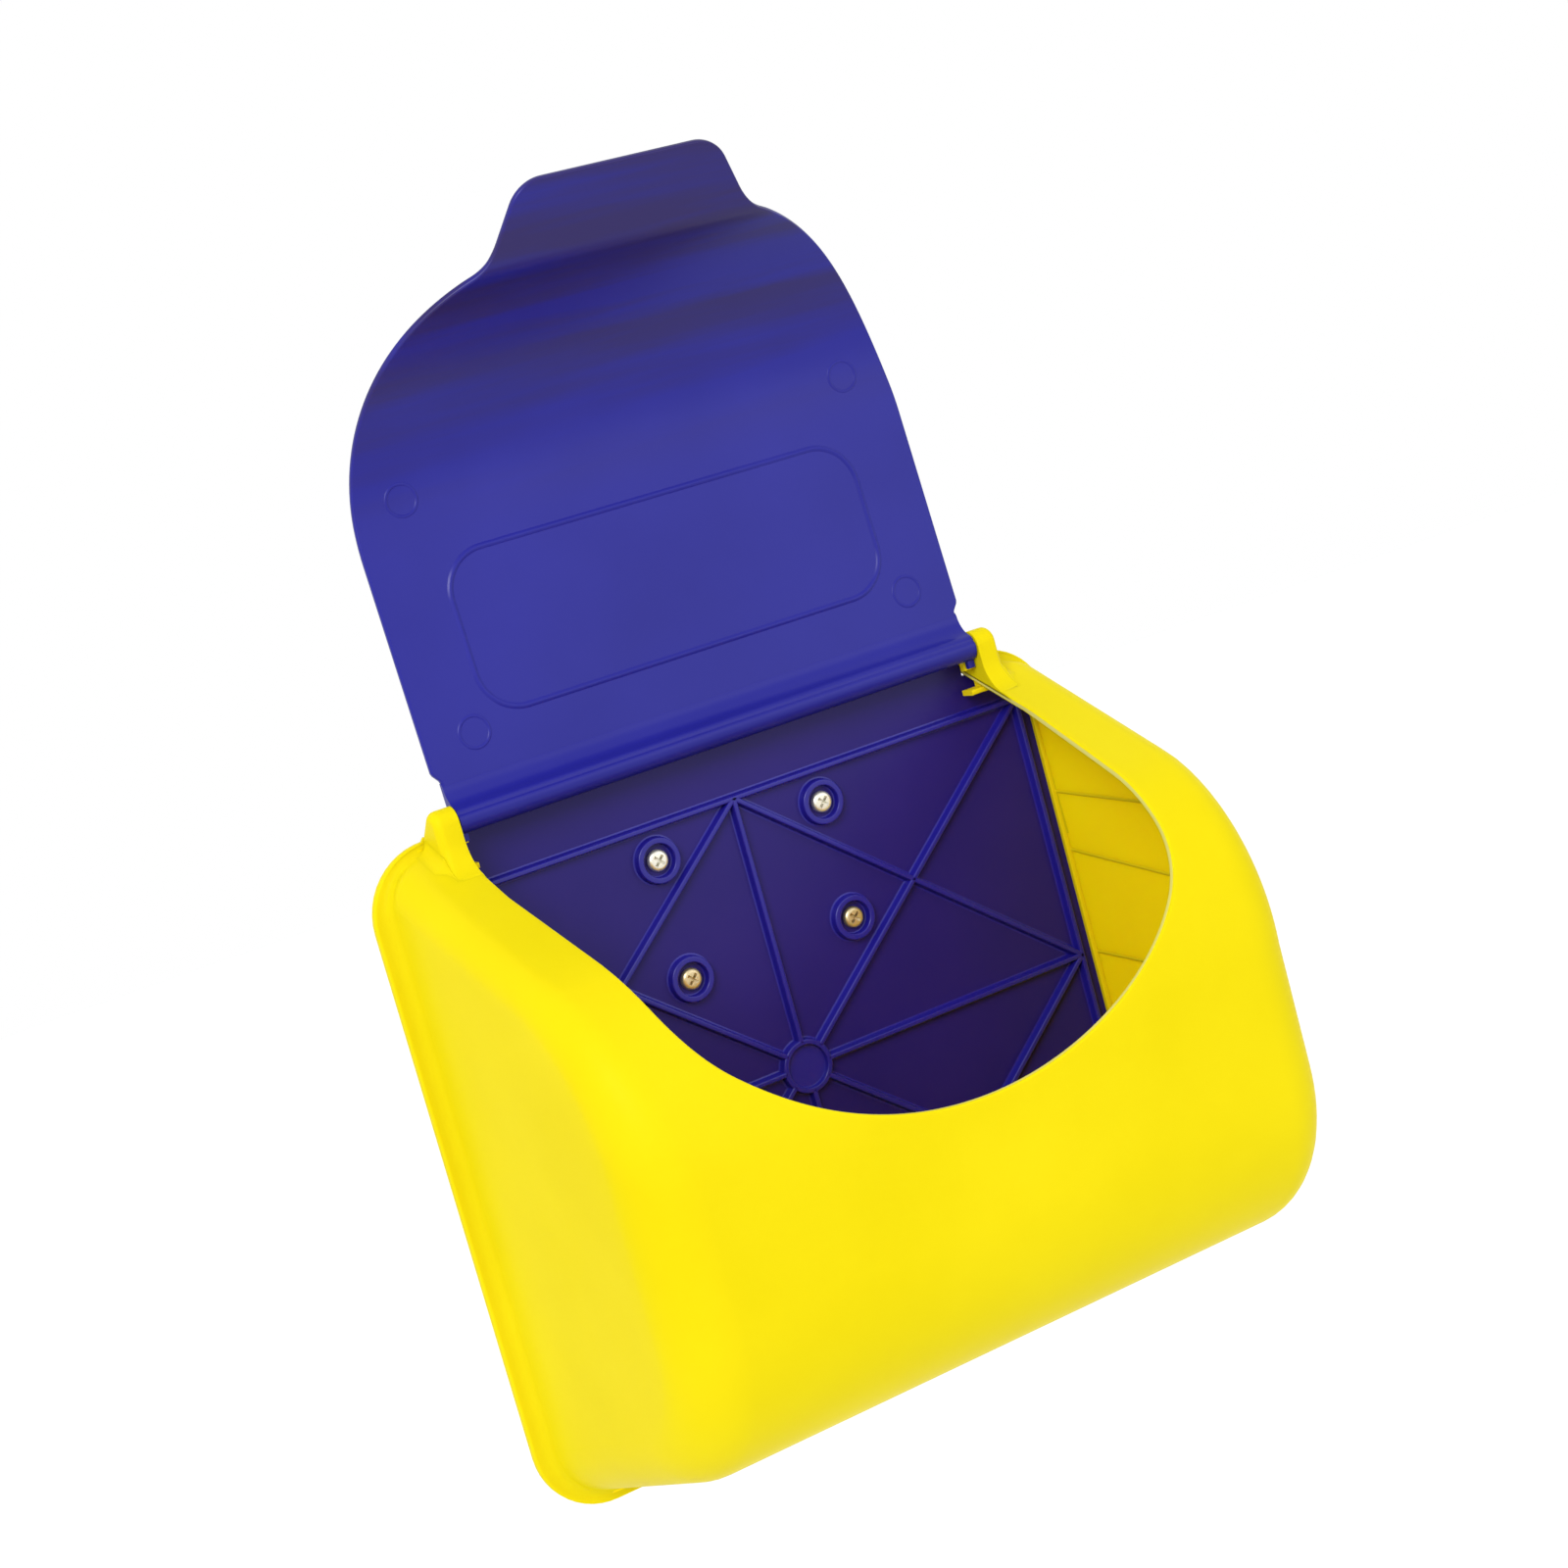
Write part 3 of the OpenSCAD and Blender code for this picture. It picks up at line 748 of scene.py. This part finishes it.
def lid_sheet(skin):
    """The lid's sheet, with rounded edges all round."""
    outline = lid_outline()
    inner_outline = [p - n * LID_EDGE for p, n in outline]
    columns = [j / LID_COLUMNS for j in range(LID_COLUMNS + 1)]
    feet = []
    for depth in (0, LID_T):
        rows = [[lid_at(lerp(q.x, -q.x, t), q.y, depth) for t in columns] for q in inner_outline]
        skin.grid(rows)
        feet.append(rows[0])
    loop = [(p.x, p.y, n.x, n.y) for p, n in outline]
    loop += [(lerp(TAB_HALF, -TAB_HALF, t), LID_LEN, 0, 1) for t in columns[1:-1]]
    loop += [(-p.x, p.y, -n.x, n.y) for p, n in reversed(outline)]
    edges = []
    for x, s, nx, ns in loop:
        soft = []
        for k in range(9):
            a = math.pi * k / 8
            inset = LID_EDGE * (1 - math.sin(a))
            depth = LID_EDGE * (1 - math.cos(a))
            if k >= 4:
                depth = LID_T - LID_EDGE * (1 + math.cos(a))
            if k == 4:
                soft.append(lid_at(x, s, LID_EDGE))
            soft.append(lid_at(x - nx * inset, s - ns * inset, depth))
        edges.append(soft)
    skin.grid(edges)
    skin.cap(feet[0] + edges[-1][1:-1] + feet[1][::-1] + edges[0][-2:0:-1])


def lid_barrel(skin):
    """Hinge barrel with a fillet up to the sheet and a shallow front groove, its pins and heels."""
    fillet_up = math.sqrt((BARREL_R + BARREL_FILLET) ** 2 - (BARREL_FILLET - LID_BACK) ** 2)
    meet = math.degrees(math.atan2(fillet_up, BARREL_FILLET - LID_BACK))
    profile = [(-LID_BACK - 0.5, fillet_up + 1.2)]
    profile += arc(BARREL_FILLET - LID_BACK, fillet_up, BARREL_FILLET, 180, 180 + meet, 14)
    for a in range(int(meet) - 3, -218, -4):
        groove = 0.45 * math.exp(-(((a - 24) / 7) ** 2))
        turn = math.radians(a)
        profile.append(((BARREL_R - groove) * math.cos(turn), (BARREL_R - groove) * math.sin(turn)))
    profile.append((-LID_BACK - 1.6, fillet_up + 1.2))
    ends = (-BARREL_END, -BARREL_END + 0.01, BARREL_END - 0.01, BARREL_END)
    skin.tube([[from_hinge(x, f, h) for f, h in profile] for x in ends])
    pin_end = BARREL_END + PIN_LEN
    pin = [(PIN_R, BARREL_END - 1), (PIN_R, pin_end - 0.4), (PIN_R - 0.4, pin_end)]
    heel_u = (HINGE_U - HEEL_T / 2, HINGE_U + HEEL_T / 2)
    for side in (-1, 1):
        turned(skin, pin, lambda a, b, d: at(side * d, HINGE_U + a, HINGE_Z + b), 32)
        heel_x = sorted((side * BARREL_END, side * (BARREL_END - HEEL_W)))
        block(skin, heel_x, heel_u, (HINGE_Z - HEEL_R, HINGE_Z - 1), 0.3)


FRAME_HALF_W, FRAME_LOW, FRAME_HIGH, FRAME_CORNER = 74, 27, 78, 14
MARK_R = 5
MARKS = ((-80, 24), (80, 24), (-80, 98), (80, 98))


def lid_arc(x, s, r, angles):
    """(x, s, outward x, outward s) round an arc on the lid."""
    return [(x + r * math.cos(a), s + r * math.sin(a), math.cos(a), math.sin(a)) for a in angles]


def lid_ridge(skin, loop, width, height):
    """Low rounded ridge along a closed loop of (x, s, outward x, outward s) on the inner face."""
    rows = []
    for x, s, nx, ns in loop:
        row = []
        for k in range(9):
            across = lerp(-width / 2, width / 2, k / 8)
            rise = height * math.cos(math.pi / 2 * (2 * across / width)) ** 2
            row.append(lid_at(x + nx * across, s + ns * across, -rise if 0 < k < 8 else 0.15))
        rows.append(row)
    rows.append(rows[0])
    skin.grid(rows)
    skin.grid([[row[0], row[-1]] for row in rows])


def lid_marks(skin):
    """Plain label frame and four round ejector marks on the inner face."""
    loop = []
    middle = (FRAME_LOW + FRAME_HIGH) / 2
    half = (FRAME_HIGH - FRAME_LOW) / 2
    for side, end, start in ((1, 1, 0), (-1, 1, 90), (-1, -1, 180), (1, -1, 270)):
        x = side * (FRAME_HALF_W - FRAME_CORNER)
        s = middle + end * (half - FRAME_CORNER)
        corner = [math.radians(start + 90 * i / 12) for i in range(13)]
        loop += lid_arc(x, s, FRAME_CORNER, corner)
    lid_ridge(skin, loop, 2.4, 0.5)
    circle = [math.tau * i / 40 for i in range(40)]
    for x, s in MARKS:
        lid_ridge(skin, lid_arc(x, s, MARK_R, circle), 1.4, 0.22)


# ---------------------------------------------------------------- back plate

PLATE_HALF_W = HALF_W - WALL - DRAFT * PLATE_T - 0.25
PLATE_LOW, PLATE_HIGH = -HOOD_DROP + WALL + 1.2, HOOD_TOP - WALL - 1.6
PLATE_TOP = HINGE_Z - BARREL_R - 0.9
PANEL_W, PANEL_H, HUB_DROP = 112, 92, 61
SCREW_DX, SCREW_DZ = 31, 20
BOSS_R, BORE_R, HOLE_R = 7.5, 5.5, 2.2
HUB_R, HUB_BORE, HUB_FLOOR = 9, 7.2, 0.9
# (outwards, forwards) at the foot of a rib or collar
FOOT_FILLET = ((0.9, -0.3), (0.8, 0), (0.3, 0.12))


def on_plate(a, b, d):
    """Point at distance d in front of the plate's face."""
    return at(a, PLATE_T + d, b)


def rib(skin, p, q):
    """Rib from p to q with drafted sides, a rounded top and a fillet at its foot."""
    p, q = Vector(p), Vector(q)
    along = (q - p).normalized()
    across = Vector((-along.y, along.x))
    half = RIB_W / 2
    side = [(half + d, h) for d, h in FOOT_FILLET]
    side.append((half + 0.08, 0.5))
    for a in quarter_turn(4):
        side.append((half - 0.1 - 0.55 * (1 - math.cos(a)), RIB_H - 0.6 + 0.6 * math.sin(a)))
    profile = side + [(-d, h) for d, h in reversed(side)]
    skin.tube([[on_plate(*(end + across * d), h) for d, h in profile] for end in (p, q)])


def collar(skin, x, z, r_out, r_in, floor):
    """Round collar on the plate with a filleted foot; its recess is open where floor is 0."""
    profile = [(r_out + d, h) for d, h in FOOT_FILLET]
    profile.append((r_out + 0.05, 0.5))
    for a in quarter_turn(4):
        profile.append((r_out - 0.5 * (1 - math.cos(a)), RIB_H - 0.5 + 0.5 * math.sin(a)))
    for a in quarter_turn(4):
        profile.append((r_in + 0.4 * (1 - math.sin(a)), RIB_H - 0.4 + 0.4 * math.cos(a)))
    profile += [(r_in, floor + 0.5), (r_in - 0.15, floor + 0.15), (r_in - 0.5, floor)]
    opened = floor == 0
    profile.append((r_in - 0.5, -0.3) if opened else (0.4, floor))
    turned(skin, profile, lambda a, b, d: on_plate(x + a, z + b, d), 64, closed=opened)


def plate_slab(skin):
    """The plate itself, with its top band reaching up between the ears."""
    x_band = MOUTH_HALF_W - 0.5
    r_top, r_low = SIDE_R_TOP - WALL, SIDE_R_FLOOR - WALL
    right = arc(PLATE_HALF_W - r_low, PLATE_LOW + r_low, r_low, -90, 0, 12)
    right += arc(PLATE_HALF_W - r_top, PLATE_HIGH - r_top, r_top, 0, 90, 8)
    right += [(x_band, PLATE_HIGH)] + arc(x_band - 1, PLATE_TOP - 1, 1, 0, 90, 4)
    outline = right + [(-x, z) for x, z in reversed(right)]
    prism(skin, outline, lambda a, b, d: at(a, d, b), PLATE_T, 0.5, 0.2)


def plate_ribs(skin):
    """Eight ribs out from the hub, a square and a diamond of ribs round it, and the hub itself."""
    mid = [(PANEL_W, 0), (0, PANEL_H), (-PANEL_W, 0), (0, -PANEL_H)]
    corner = [(PANEL_W, PANEL_H), (-PANEL_W, PANEL_H), (-PANEL_W, -PANEL_H), (PANEL_W, -PANEL_H)]
    hub = Vector((0, -HUB_DROP))
    for i in range(4):
        for goal in (Vector(mid[i]), Vector(corner[i])):
            rib(skin, hub + goal.normalized() * (HUB_BORE + 1), hub + goal)
        rib(skin, hub + Vector(mid[i]), hub + Vector(mid[(i + 1) % 4]))
        rib(skin, hub + Vector(corner[i]), hub + Vector(corner[(i + 1) % 4]))
    collar(skin, 0, -HUB_DROP, HUB_R, HUB_BORE, HUB_FLOOR)


def screw_places():
    """(x, z) of the upper two screws, then of the lower two."""
    return [(x, z) for z in (SCREW_DZ, -SCREW_DZ) for x in (-SCREW_DX, SCREW_DX)]


# ---------------------------------------------------------------- screws

HEAD_R, HEAD_H, HEAD_ROUND, NECK_R = 3.6, 2.4, 1.4, 1.6
THREAD_R, THREAD_ROOT_R, THREAD_PITCH = 1.95, 1.3, 1.5
SCREW_REACH, TIP_LEN = 22, 3


def screw_body(skin, x, z):
    """Pan head, neck through the plate, and a helical thread with a point behind the wall plane."""
    def place(a, b, d):
        return at(x + a, d, z + b)

    head = [(NECK_R, 0.05), (NECK_R, PLATE_T), (HEAD_R - 0.2, PLATE_T), (HEAD_R, PLATE_T + 0.2)]
    for a in quarter_turn(8):
        rise = PLATE_T + HEAD_H - HEAD_ROUND + HEAD_ROUND * math.sin(a)
        head.append((HEAD_R - HEAD_ROUND * (1 - math.cos(a)), rise))
    head.append((0.3, PLATE_T + HEAD_H))
    turned(skin, head, place, 48)
    steps, around = 260, 28
    rows = []
    for i in range(steps + 1):
        along = -SCREW_REACH * i / steps + 0.2
        row = []
        for k in range(around):
            turn = k / around
            phase = (along / THREAD_PITCH + turn) % 1
            crest = max(0, 1 - abs(phase - 0.5) * 3.4)
            limit = min(1, (SCREW_REACH + along) / TIP_LEN + 0.08)
            r = lerp(THREAD_ROOT_R, THREAD_R, crest) * limit
            row.append(place(r * math.cos(math.tau * turn), r * math.sin(math.tau * turn), along))
        rows.append(row)
    skin.tube(rows)


def cross_cut(skin, x, z):
    """Cross recess with sloping ends."""
    top, floor = PLATE_T + HEAD_H + 0.4, PLATE_T + 0.7
    for turn in (45, 135):
        along = heading(math.radians(turn))
        across = Vector((-along.y, along.x))
        rows = []
        for long, wide, u in ((2.4, 0.5, top), (0.9, 0.32, floor)):
            ends = ((long, wide), (-long, wide), (-long, -wide), (long, -wide))
            corners = [along * p + across * q for p, q in ends]
            rows.append([at(x + corner.x, u, z + corner.y) for corner in corners])
        skin.tube(rows)


def cut(piece, *cutters):
    """Takes the cutters out of a piece."""
    for cutter in cutters:
        change = piece.modifiers.new("cut", "BOOLEAN")
        change.operation = "DIFFERENCE"
        change.solver = "EXACT"
        change.use_self = True
        change.object = cutter
    bpy.context.view_layer.update()
    evaluated = piece.evaluated_get(bpy.context.evaluated_depsgraph_get())
    result = bpy.data.meshes.new_from_object(evaluated)
    piece.modifiers.clear()
    result.set_sharp_from_angle(angle=SHARP_ANGLE)
    piece.data = result
    for cutter in cutters:
        bpy.data.objects.remove(cutter)


# ---------------------------------------------------------------- materials


def noise(nodes, links, place, scale, detail, stretch=(1, 1, 1)):
    """Noise in object space, stretched along each axis."""
    mapping = nodes.new("ShaderNodeMapping")
    mapping.inputs["Scale"].default_value = stretch
    links.new(place.outputs["Object"], mapping.inputs["Vector"])
    cloud = nodes.new("ShaderNodeTexNoise")
    cloud.inputs["Scale"].default_value = scale
    cloud.inputs["Detail"].default_value = detail
    links.new(mapping.outputs["Vector"], cloud.inputs["Vector"])
    return cloud.outputs["Fac"]


def ramp(nodes, links, value, *stops):
    """Colour ramp over a value; each stop is (position, colour)."""
    colours = nodes.new("ShaderNodeValToRGB")
    while len(colours.color_ramp.elements) < len(stops):
        colours.color_ramp.elements.new(0.5)
    for element, (position, colour) in zip(colours.color_ramp.elements, stops):
        element.position = position
        element.color = (*colour, 1)
    links.new(value, colours.inputs["Fac"])
    return colours.outputs["Color"]


def plastic(name, low, high, roughness, grain, specular=0.5, shade_streak=None, shade_streak_z=(0, 1)):
    """Moulded plastic: slow colour variation, uneven gloss and a fine mould texture.

    Painted shade in dark streaks, of the colour given for them, comes in between the two heights
    given with it, in metres.
    """
    material = bpy.data.materials.new(name)
    material.use_nodes = True
    nodes, links = material.node_tree.nodes, material.node_tree.links
    shader = nodes["Principled BSDF"]
    place = nodes.new("ShaderNodeTexCoord")
    cloud = noise(nodes, links, place, 14, 4)
    colour = ramp(nodes, links, cloud, (0.3, low), (0.7, high))
    # Painted shade: a darker colour laid on in streaks between two heights, where the lid's curl
    # lies in shade
    if shade_streak:
        shade_pattern = noise(nodes, links, place, 7, 5, (0.7, 12, 12))
        parts = nodes.new("ShaderNodeSeparateXYZ")
        links.new(place.outputs["Object"], parts.inputs["Vector"])
        rise = nodes.new("ShaderNodeMapRange")
        rise.interpolation_type = "SMOOTHSTEP"
        rise.inputs["From Min"].default_value = shade_streak_z[0]
        rise.inputs["From Max"].default_value = shade_streak_z[1]
        links.new(parts.outputs["Z"], rise.inputs["Value"])
        lines = nodes.new("ShaderNodeMapRange")
        lines.inputs["From Min"].default_value = 0.4
        lines.inputs["From Max"].default_value = 0.6
        lines.inputs["To Min"].default_value = 0.15
        links.new(shade_pattern, lines.inputs["Value"])
        amount = nodes.new("ShaderNodeMath")
        amount.operation = "MULTIPLY"
        links.new(rise.outputs["Result"], amount.inputs[0])
        links.new(lines.outputs["Result"], amount.inputs[1])
        blend = nodes.new("ShaderNodeMix")
        blend.data_type = "RGBA"
        blend.inputs["B"].default_value = (*shade_streak, 1)
        links.new(amount.outputs["Value"], blend.inputs["Factor"])
        links.new(colour, blend.inputs["A"])
        colour = blend.outputs["Result"]
    links.new(colour, shader.inputs["Base Color"])
    gloss = nodes.new("ShaderNodeMapRange")
    gloss.inputs["To Min"].default_value = roughness - 0.06
    gloss.inputs["To Max"].default_value = roughness + 0.06
    links.new(noise(nodes, links, place, 30, 3, (0.4, 1, 1)), gloss.inputs["Value"])
    links.new(gloss.outputs["Result"], shader.inputs["Roughness"])
    bump = nodes.new("ShaderNodeBump")
    bump.inputs["Strength"].default_value = grain
    bump.inputs["Distance"].default_value = 0.0002
    links.new(noise(nodes, links, place, 900, 3), bump.inputs["Height"])
    links.new(bump.outputs["Normal"], shader.inputs["Normal"])
    shader.inputs["IOR"].default_value = 1.49
    shader.inputs["Specular IOR Level"].default_value = specular
    return material


def glow(material, weight, radius, scale):
    """Lets light through the plastic."""
    shader = material.node_tree.nodes["Principled BSDF"].inputs
    shader["Subsurface Weight"].default_value = weight
    shader["Subsurface Radius"].default_value = radius
    shader["Subsurface Scale"].default_value = scale


def plated(name, low, high):
    """Plated steel: uneven colour and gloss, with fine scratches."""
    material = plastic(name, low, high, 0.36, 0.15)
    material.node_tree.nodes["Principled BSDF"].inputs["Metallic"].default_value = 0.85
    return material


hood_plastic = plastic(
    "yellow_plastic", (0.63, 0.515, 0.003), (0.675, 0.555, 0.005), 0.38, 0.05, 0.015
)
# The faces inside the hood get a lighter copy of the same yellow: painted light on the inner walls
inside_painted_light_plastic = plastic(
    "yellow_plastic_inside_painted_light", (0.80, 0.60, 0.002), (0.85, 0.65, 0.003), 0.42, 0.06, 0.04
)
# The hood's inner lines, stops, tongue, catches and ledge get a lighter copy of the same yellow:
# painted light inside the hood
ledge_painted_light_plastic = plastic(
    "yellow_plastic_ledges_painted_light", (0.74, 0.57, 0.003), (0.80, 0.62, 0.004), 0.42, 0.06, 0.1
)
# The mouth's cut face gets a paler, whiter copy of the same yellow: a painted highlight along the
# rim
cut_painted_highlight_plastic = plastic(
    "yellow_plastic_cut_painted_highlight", (0.66, 0.58, 0.10), (0.71, 0.63, 0.17), 0.5, 0.12, 0.3
)
glow(hood_plastic, 0.35, (1, 0.9, 0.3), 0.003)
glow(inside_painted_light_plastic, 1, (1, 0.75, 0.1), 0.009)
# The lid's darker violet streaks, over its upper part from the curl up, are painted shade
lid_plastic = plastic(
    "blue_plastic", (0.010, 0.010, 0.19), (0.014, 0.014, 0.225), 0.3, 0.05, 0.22,
    shade_streak=(0.019, 0.012, 0.09), shade_streak_z=(0.13, 0.2),
)
# The plate and its ribs are one blue plastic: the plate's darker, more violet copy is painted shade
# and painted reflection of the dark inside, and the ribs' brighter blue is painted light
plate_plastic = plastic(
    "plate_plastic", (0.014, 0.007, 0.125), (0.021, 0.010, 0.155), 0.34, 0.06, 0.2
)
rib_painted_light_plastic = plastic(
    "rib_painted_light_plastic", (0.010, 0.007, 0.20), (0.015, 0.010, 0.25), 0.3, 0.05, 0.4
)
zinc = plated("zinc", (0.74, 0.72, 0.62), (0.92, 0.90, 0.82))
yellow_zinc = plated("yellow_zinc", (0.50, 0.40, 0.22), (0.74, 0.62, 0.38))

# ---------------------------------------------------------------- pieces


def finish_piece(piece, material, body, slot, *nodes):
    """Gives a piece its material, body and replaced nodes, and shades its flats as flat; the slot
    argument is not used.
    """
    piece.data.materials.append(material)
    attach(piece, body)
    if nodes:
        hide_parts(*nodes)
    piece.modifiers.new("flat_faces", "WEIGHTED_NORMAL").keep_sharp = True


def line_inside(piece):
    """Gives the faces that look into the hood and the mouth's cut face their own materials: lighter
    copies of the yellow that paint in light inside the hood and a highlight on the cut face.
    """
    piece.data.materials.append(inside_painted_light_plastic)
    piece.data.materials.append(cut_painted_highlight_plastic)
    middle = Vector((0, -55, -60)) * MM
    for face in piece.data.polygons:
        u, x = -face.center.y / MM, abs(face.center.x) / MM
        looks_in = face.normal.dot(face.center - middle) < 0
        past_flange = u > FLANGE_T + 0.2 and x < HALF_W - DRAFT * u - WALL / 2
        if looks_in and past_flange and face.material_index != CUT_FACE:
            face.material_index = INSIDE_FACE


hood = Skin()
hood_half(hood)
hood.mirror()
hood_piece = hood.build("hood")
finish_piece(hood_piece, hood_plastic, "station", "hood_plastic", "front_shell")
line_inside(hood_piece)

for name, draw, material in (
    ("hood_ears", ear, hood_plastic),
    ("hood_ear_fillets", ear_flare, hood_plastic),
    ("hood_ledges", hood_details, ledge_painted_light_plastic),
):
    detail = Skin()
    draw(detail)
    detail.mirror()
    finish_piece(detail.build(name), material, "station", "hood_plastic")

lid = Skin()
lid_sheet(lid)
lid_barrel(lid)
lid_marks(lid)
lid_piece = lid.build("hinged_lid")
finish_piece(lid_piece, lid_plastic, "lid", "lid_plastic", "lid")

slab = Skin()
plate_slab(slab)
plate_piece = slab.build("mounting_plate")
holes = []
for x, z in screw_places():
    hole = Skin()
    turned(hole, [(HOLE_R, -1), (HOLE_R, PLATE_T + 1)], lambda a, b, d: at(x + a, d, z + b), 32)
    holes.append(hole.build("hole"))
cut(plate_piece, *holes)
finish_piece(plate_piece, plate_plastic, "station", "plate_plastic", "back_plate")

ribs = Skin()
plate_ribs(ribs)
for x, z in screw_places():
    collar(ribs, x, z, BOSS_R, BORE_R, 0)
ribs_piece = ribs.build("plate_ribs")
finish_piece(ribs_piece, rib_painted_light_plastic, "station", "plate_plastic")

for number, (x, z) in enumerate(screw_places()):
    body = Skin()
    screw_body(body, x, z)
    recess = Skin()
    cross_cut(recess, x, z)
    screw_piece = body.build(f"screw_{number + 1}")
    cut(screw_piece, recess.build("recess"))
    if z > 0:
        finish_piece(screw_piece, zinc, "station", "zinc_screw", "upper_screws")
    else:
        finish_piece(screw_piece, yellow_zinc, "station", "yellow_zinc_screw", "lower_screws")

# ---------------------------------------------------------------- stage, metres

FLOOR_HALF, FLOOR_Z = 8, -1.2
LIGHT_AIM = Vector((0, -0.06, 0.02))


def make_stage():
    """Pale floor well below the wall-hung object, and a plain white world."""
    floor = bpy.data.meshes.new("floor")
    corners = ((-1, -1), (1, -1), (1, 1), (-1, 1))
    points = [(FLOOR_HALF * x, FLOOR_HALF * y, FLOOR_Z) for x, y in corners]
    floor.from_pydata(points, [], [(0, 1, 2, 3)])
    floor_piece = bpy.data.objects.new("floor", floor)
    bpy.context.scene.collection.objects.link(floor_piece)
    material = bpy.data.materials.new("floor_paint")
    material.use_nodes = True
    paint = material.node_tree.nodes["Principled BSDF"].inputs
    paint["Base Color"].default_value = (0.92, 0.92, 0.92, 1)
    paint["Roughness"].default_value = 0.9
    paint["Emission Color"].default_value = (1, 1, 1, 1)
    paint["Emission Strength"].default_value = 0.12
    floor.materials.append(material)

    world = bpy.data.worlds.new("world")
    bpy.context.scene.world = world
    world.use_nodes = True
    nodes = world.node_tree.nodes
    nodes["Background"].inputs["Color"].default_value = (1, 1, 1, 1)
    nodes["Background"].inputs["Strength"].default_value = 1.0


def soft_light(name, place, size, power):
    """Round area light that faces the object."""
    data = bpy.data.lights.new(name, "AREA")
    data.shape = "DISK"
    data.size = size
    data.energy = power
    lamp = bpy.data.objects.new(name, data)
    bpy.context.scene.collection.objects.link(lamp)
    lamp.location = place
    lamp.rotation_mode = "QUATERNION"
    lamp.rotation_quaternion = (Vector(place) - LIGHT_AIM).to_track_quat("Z", "Y")


make_stage()
soft_light("key", (-1.15, -1.3, 1.0), 0.9, 25)
soft_light("fill", (0.9, -1.6, 0.4), 1.2, 4)
bpy.context.scene.view_settings.view_transform = "Standard"
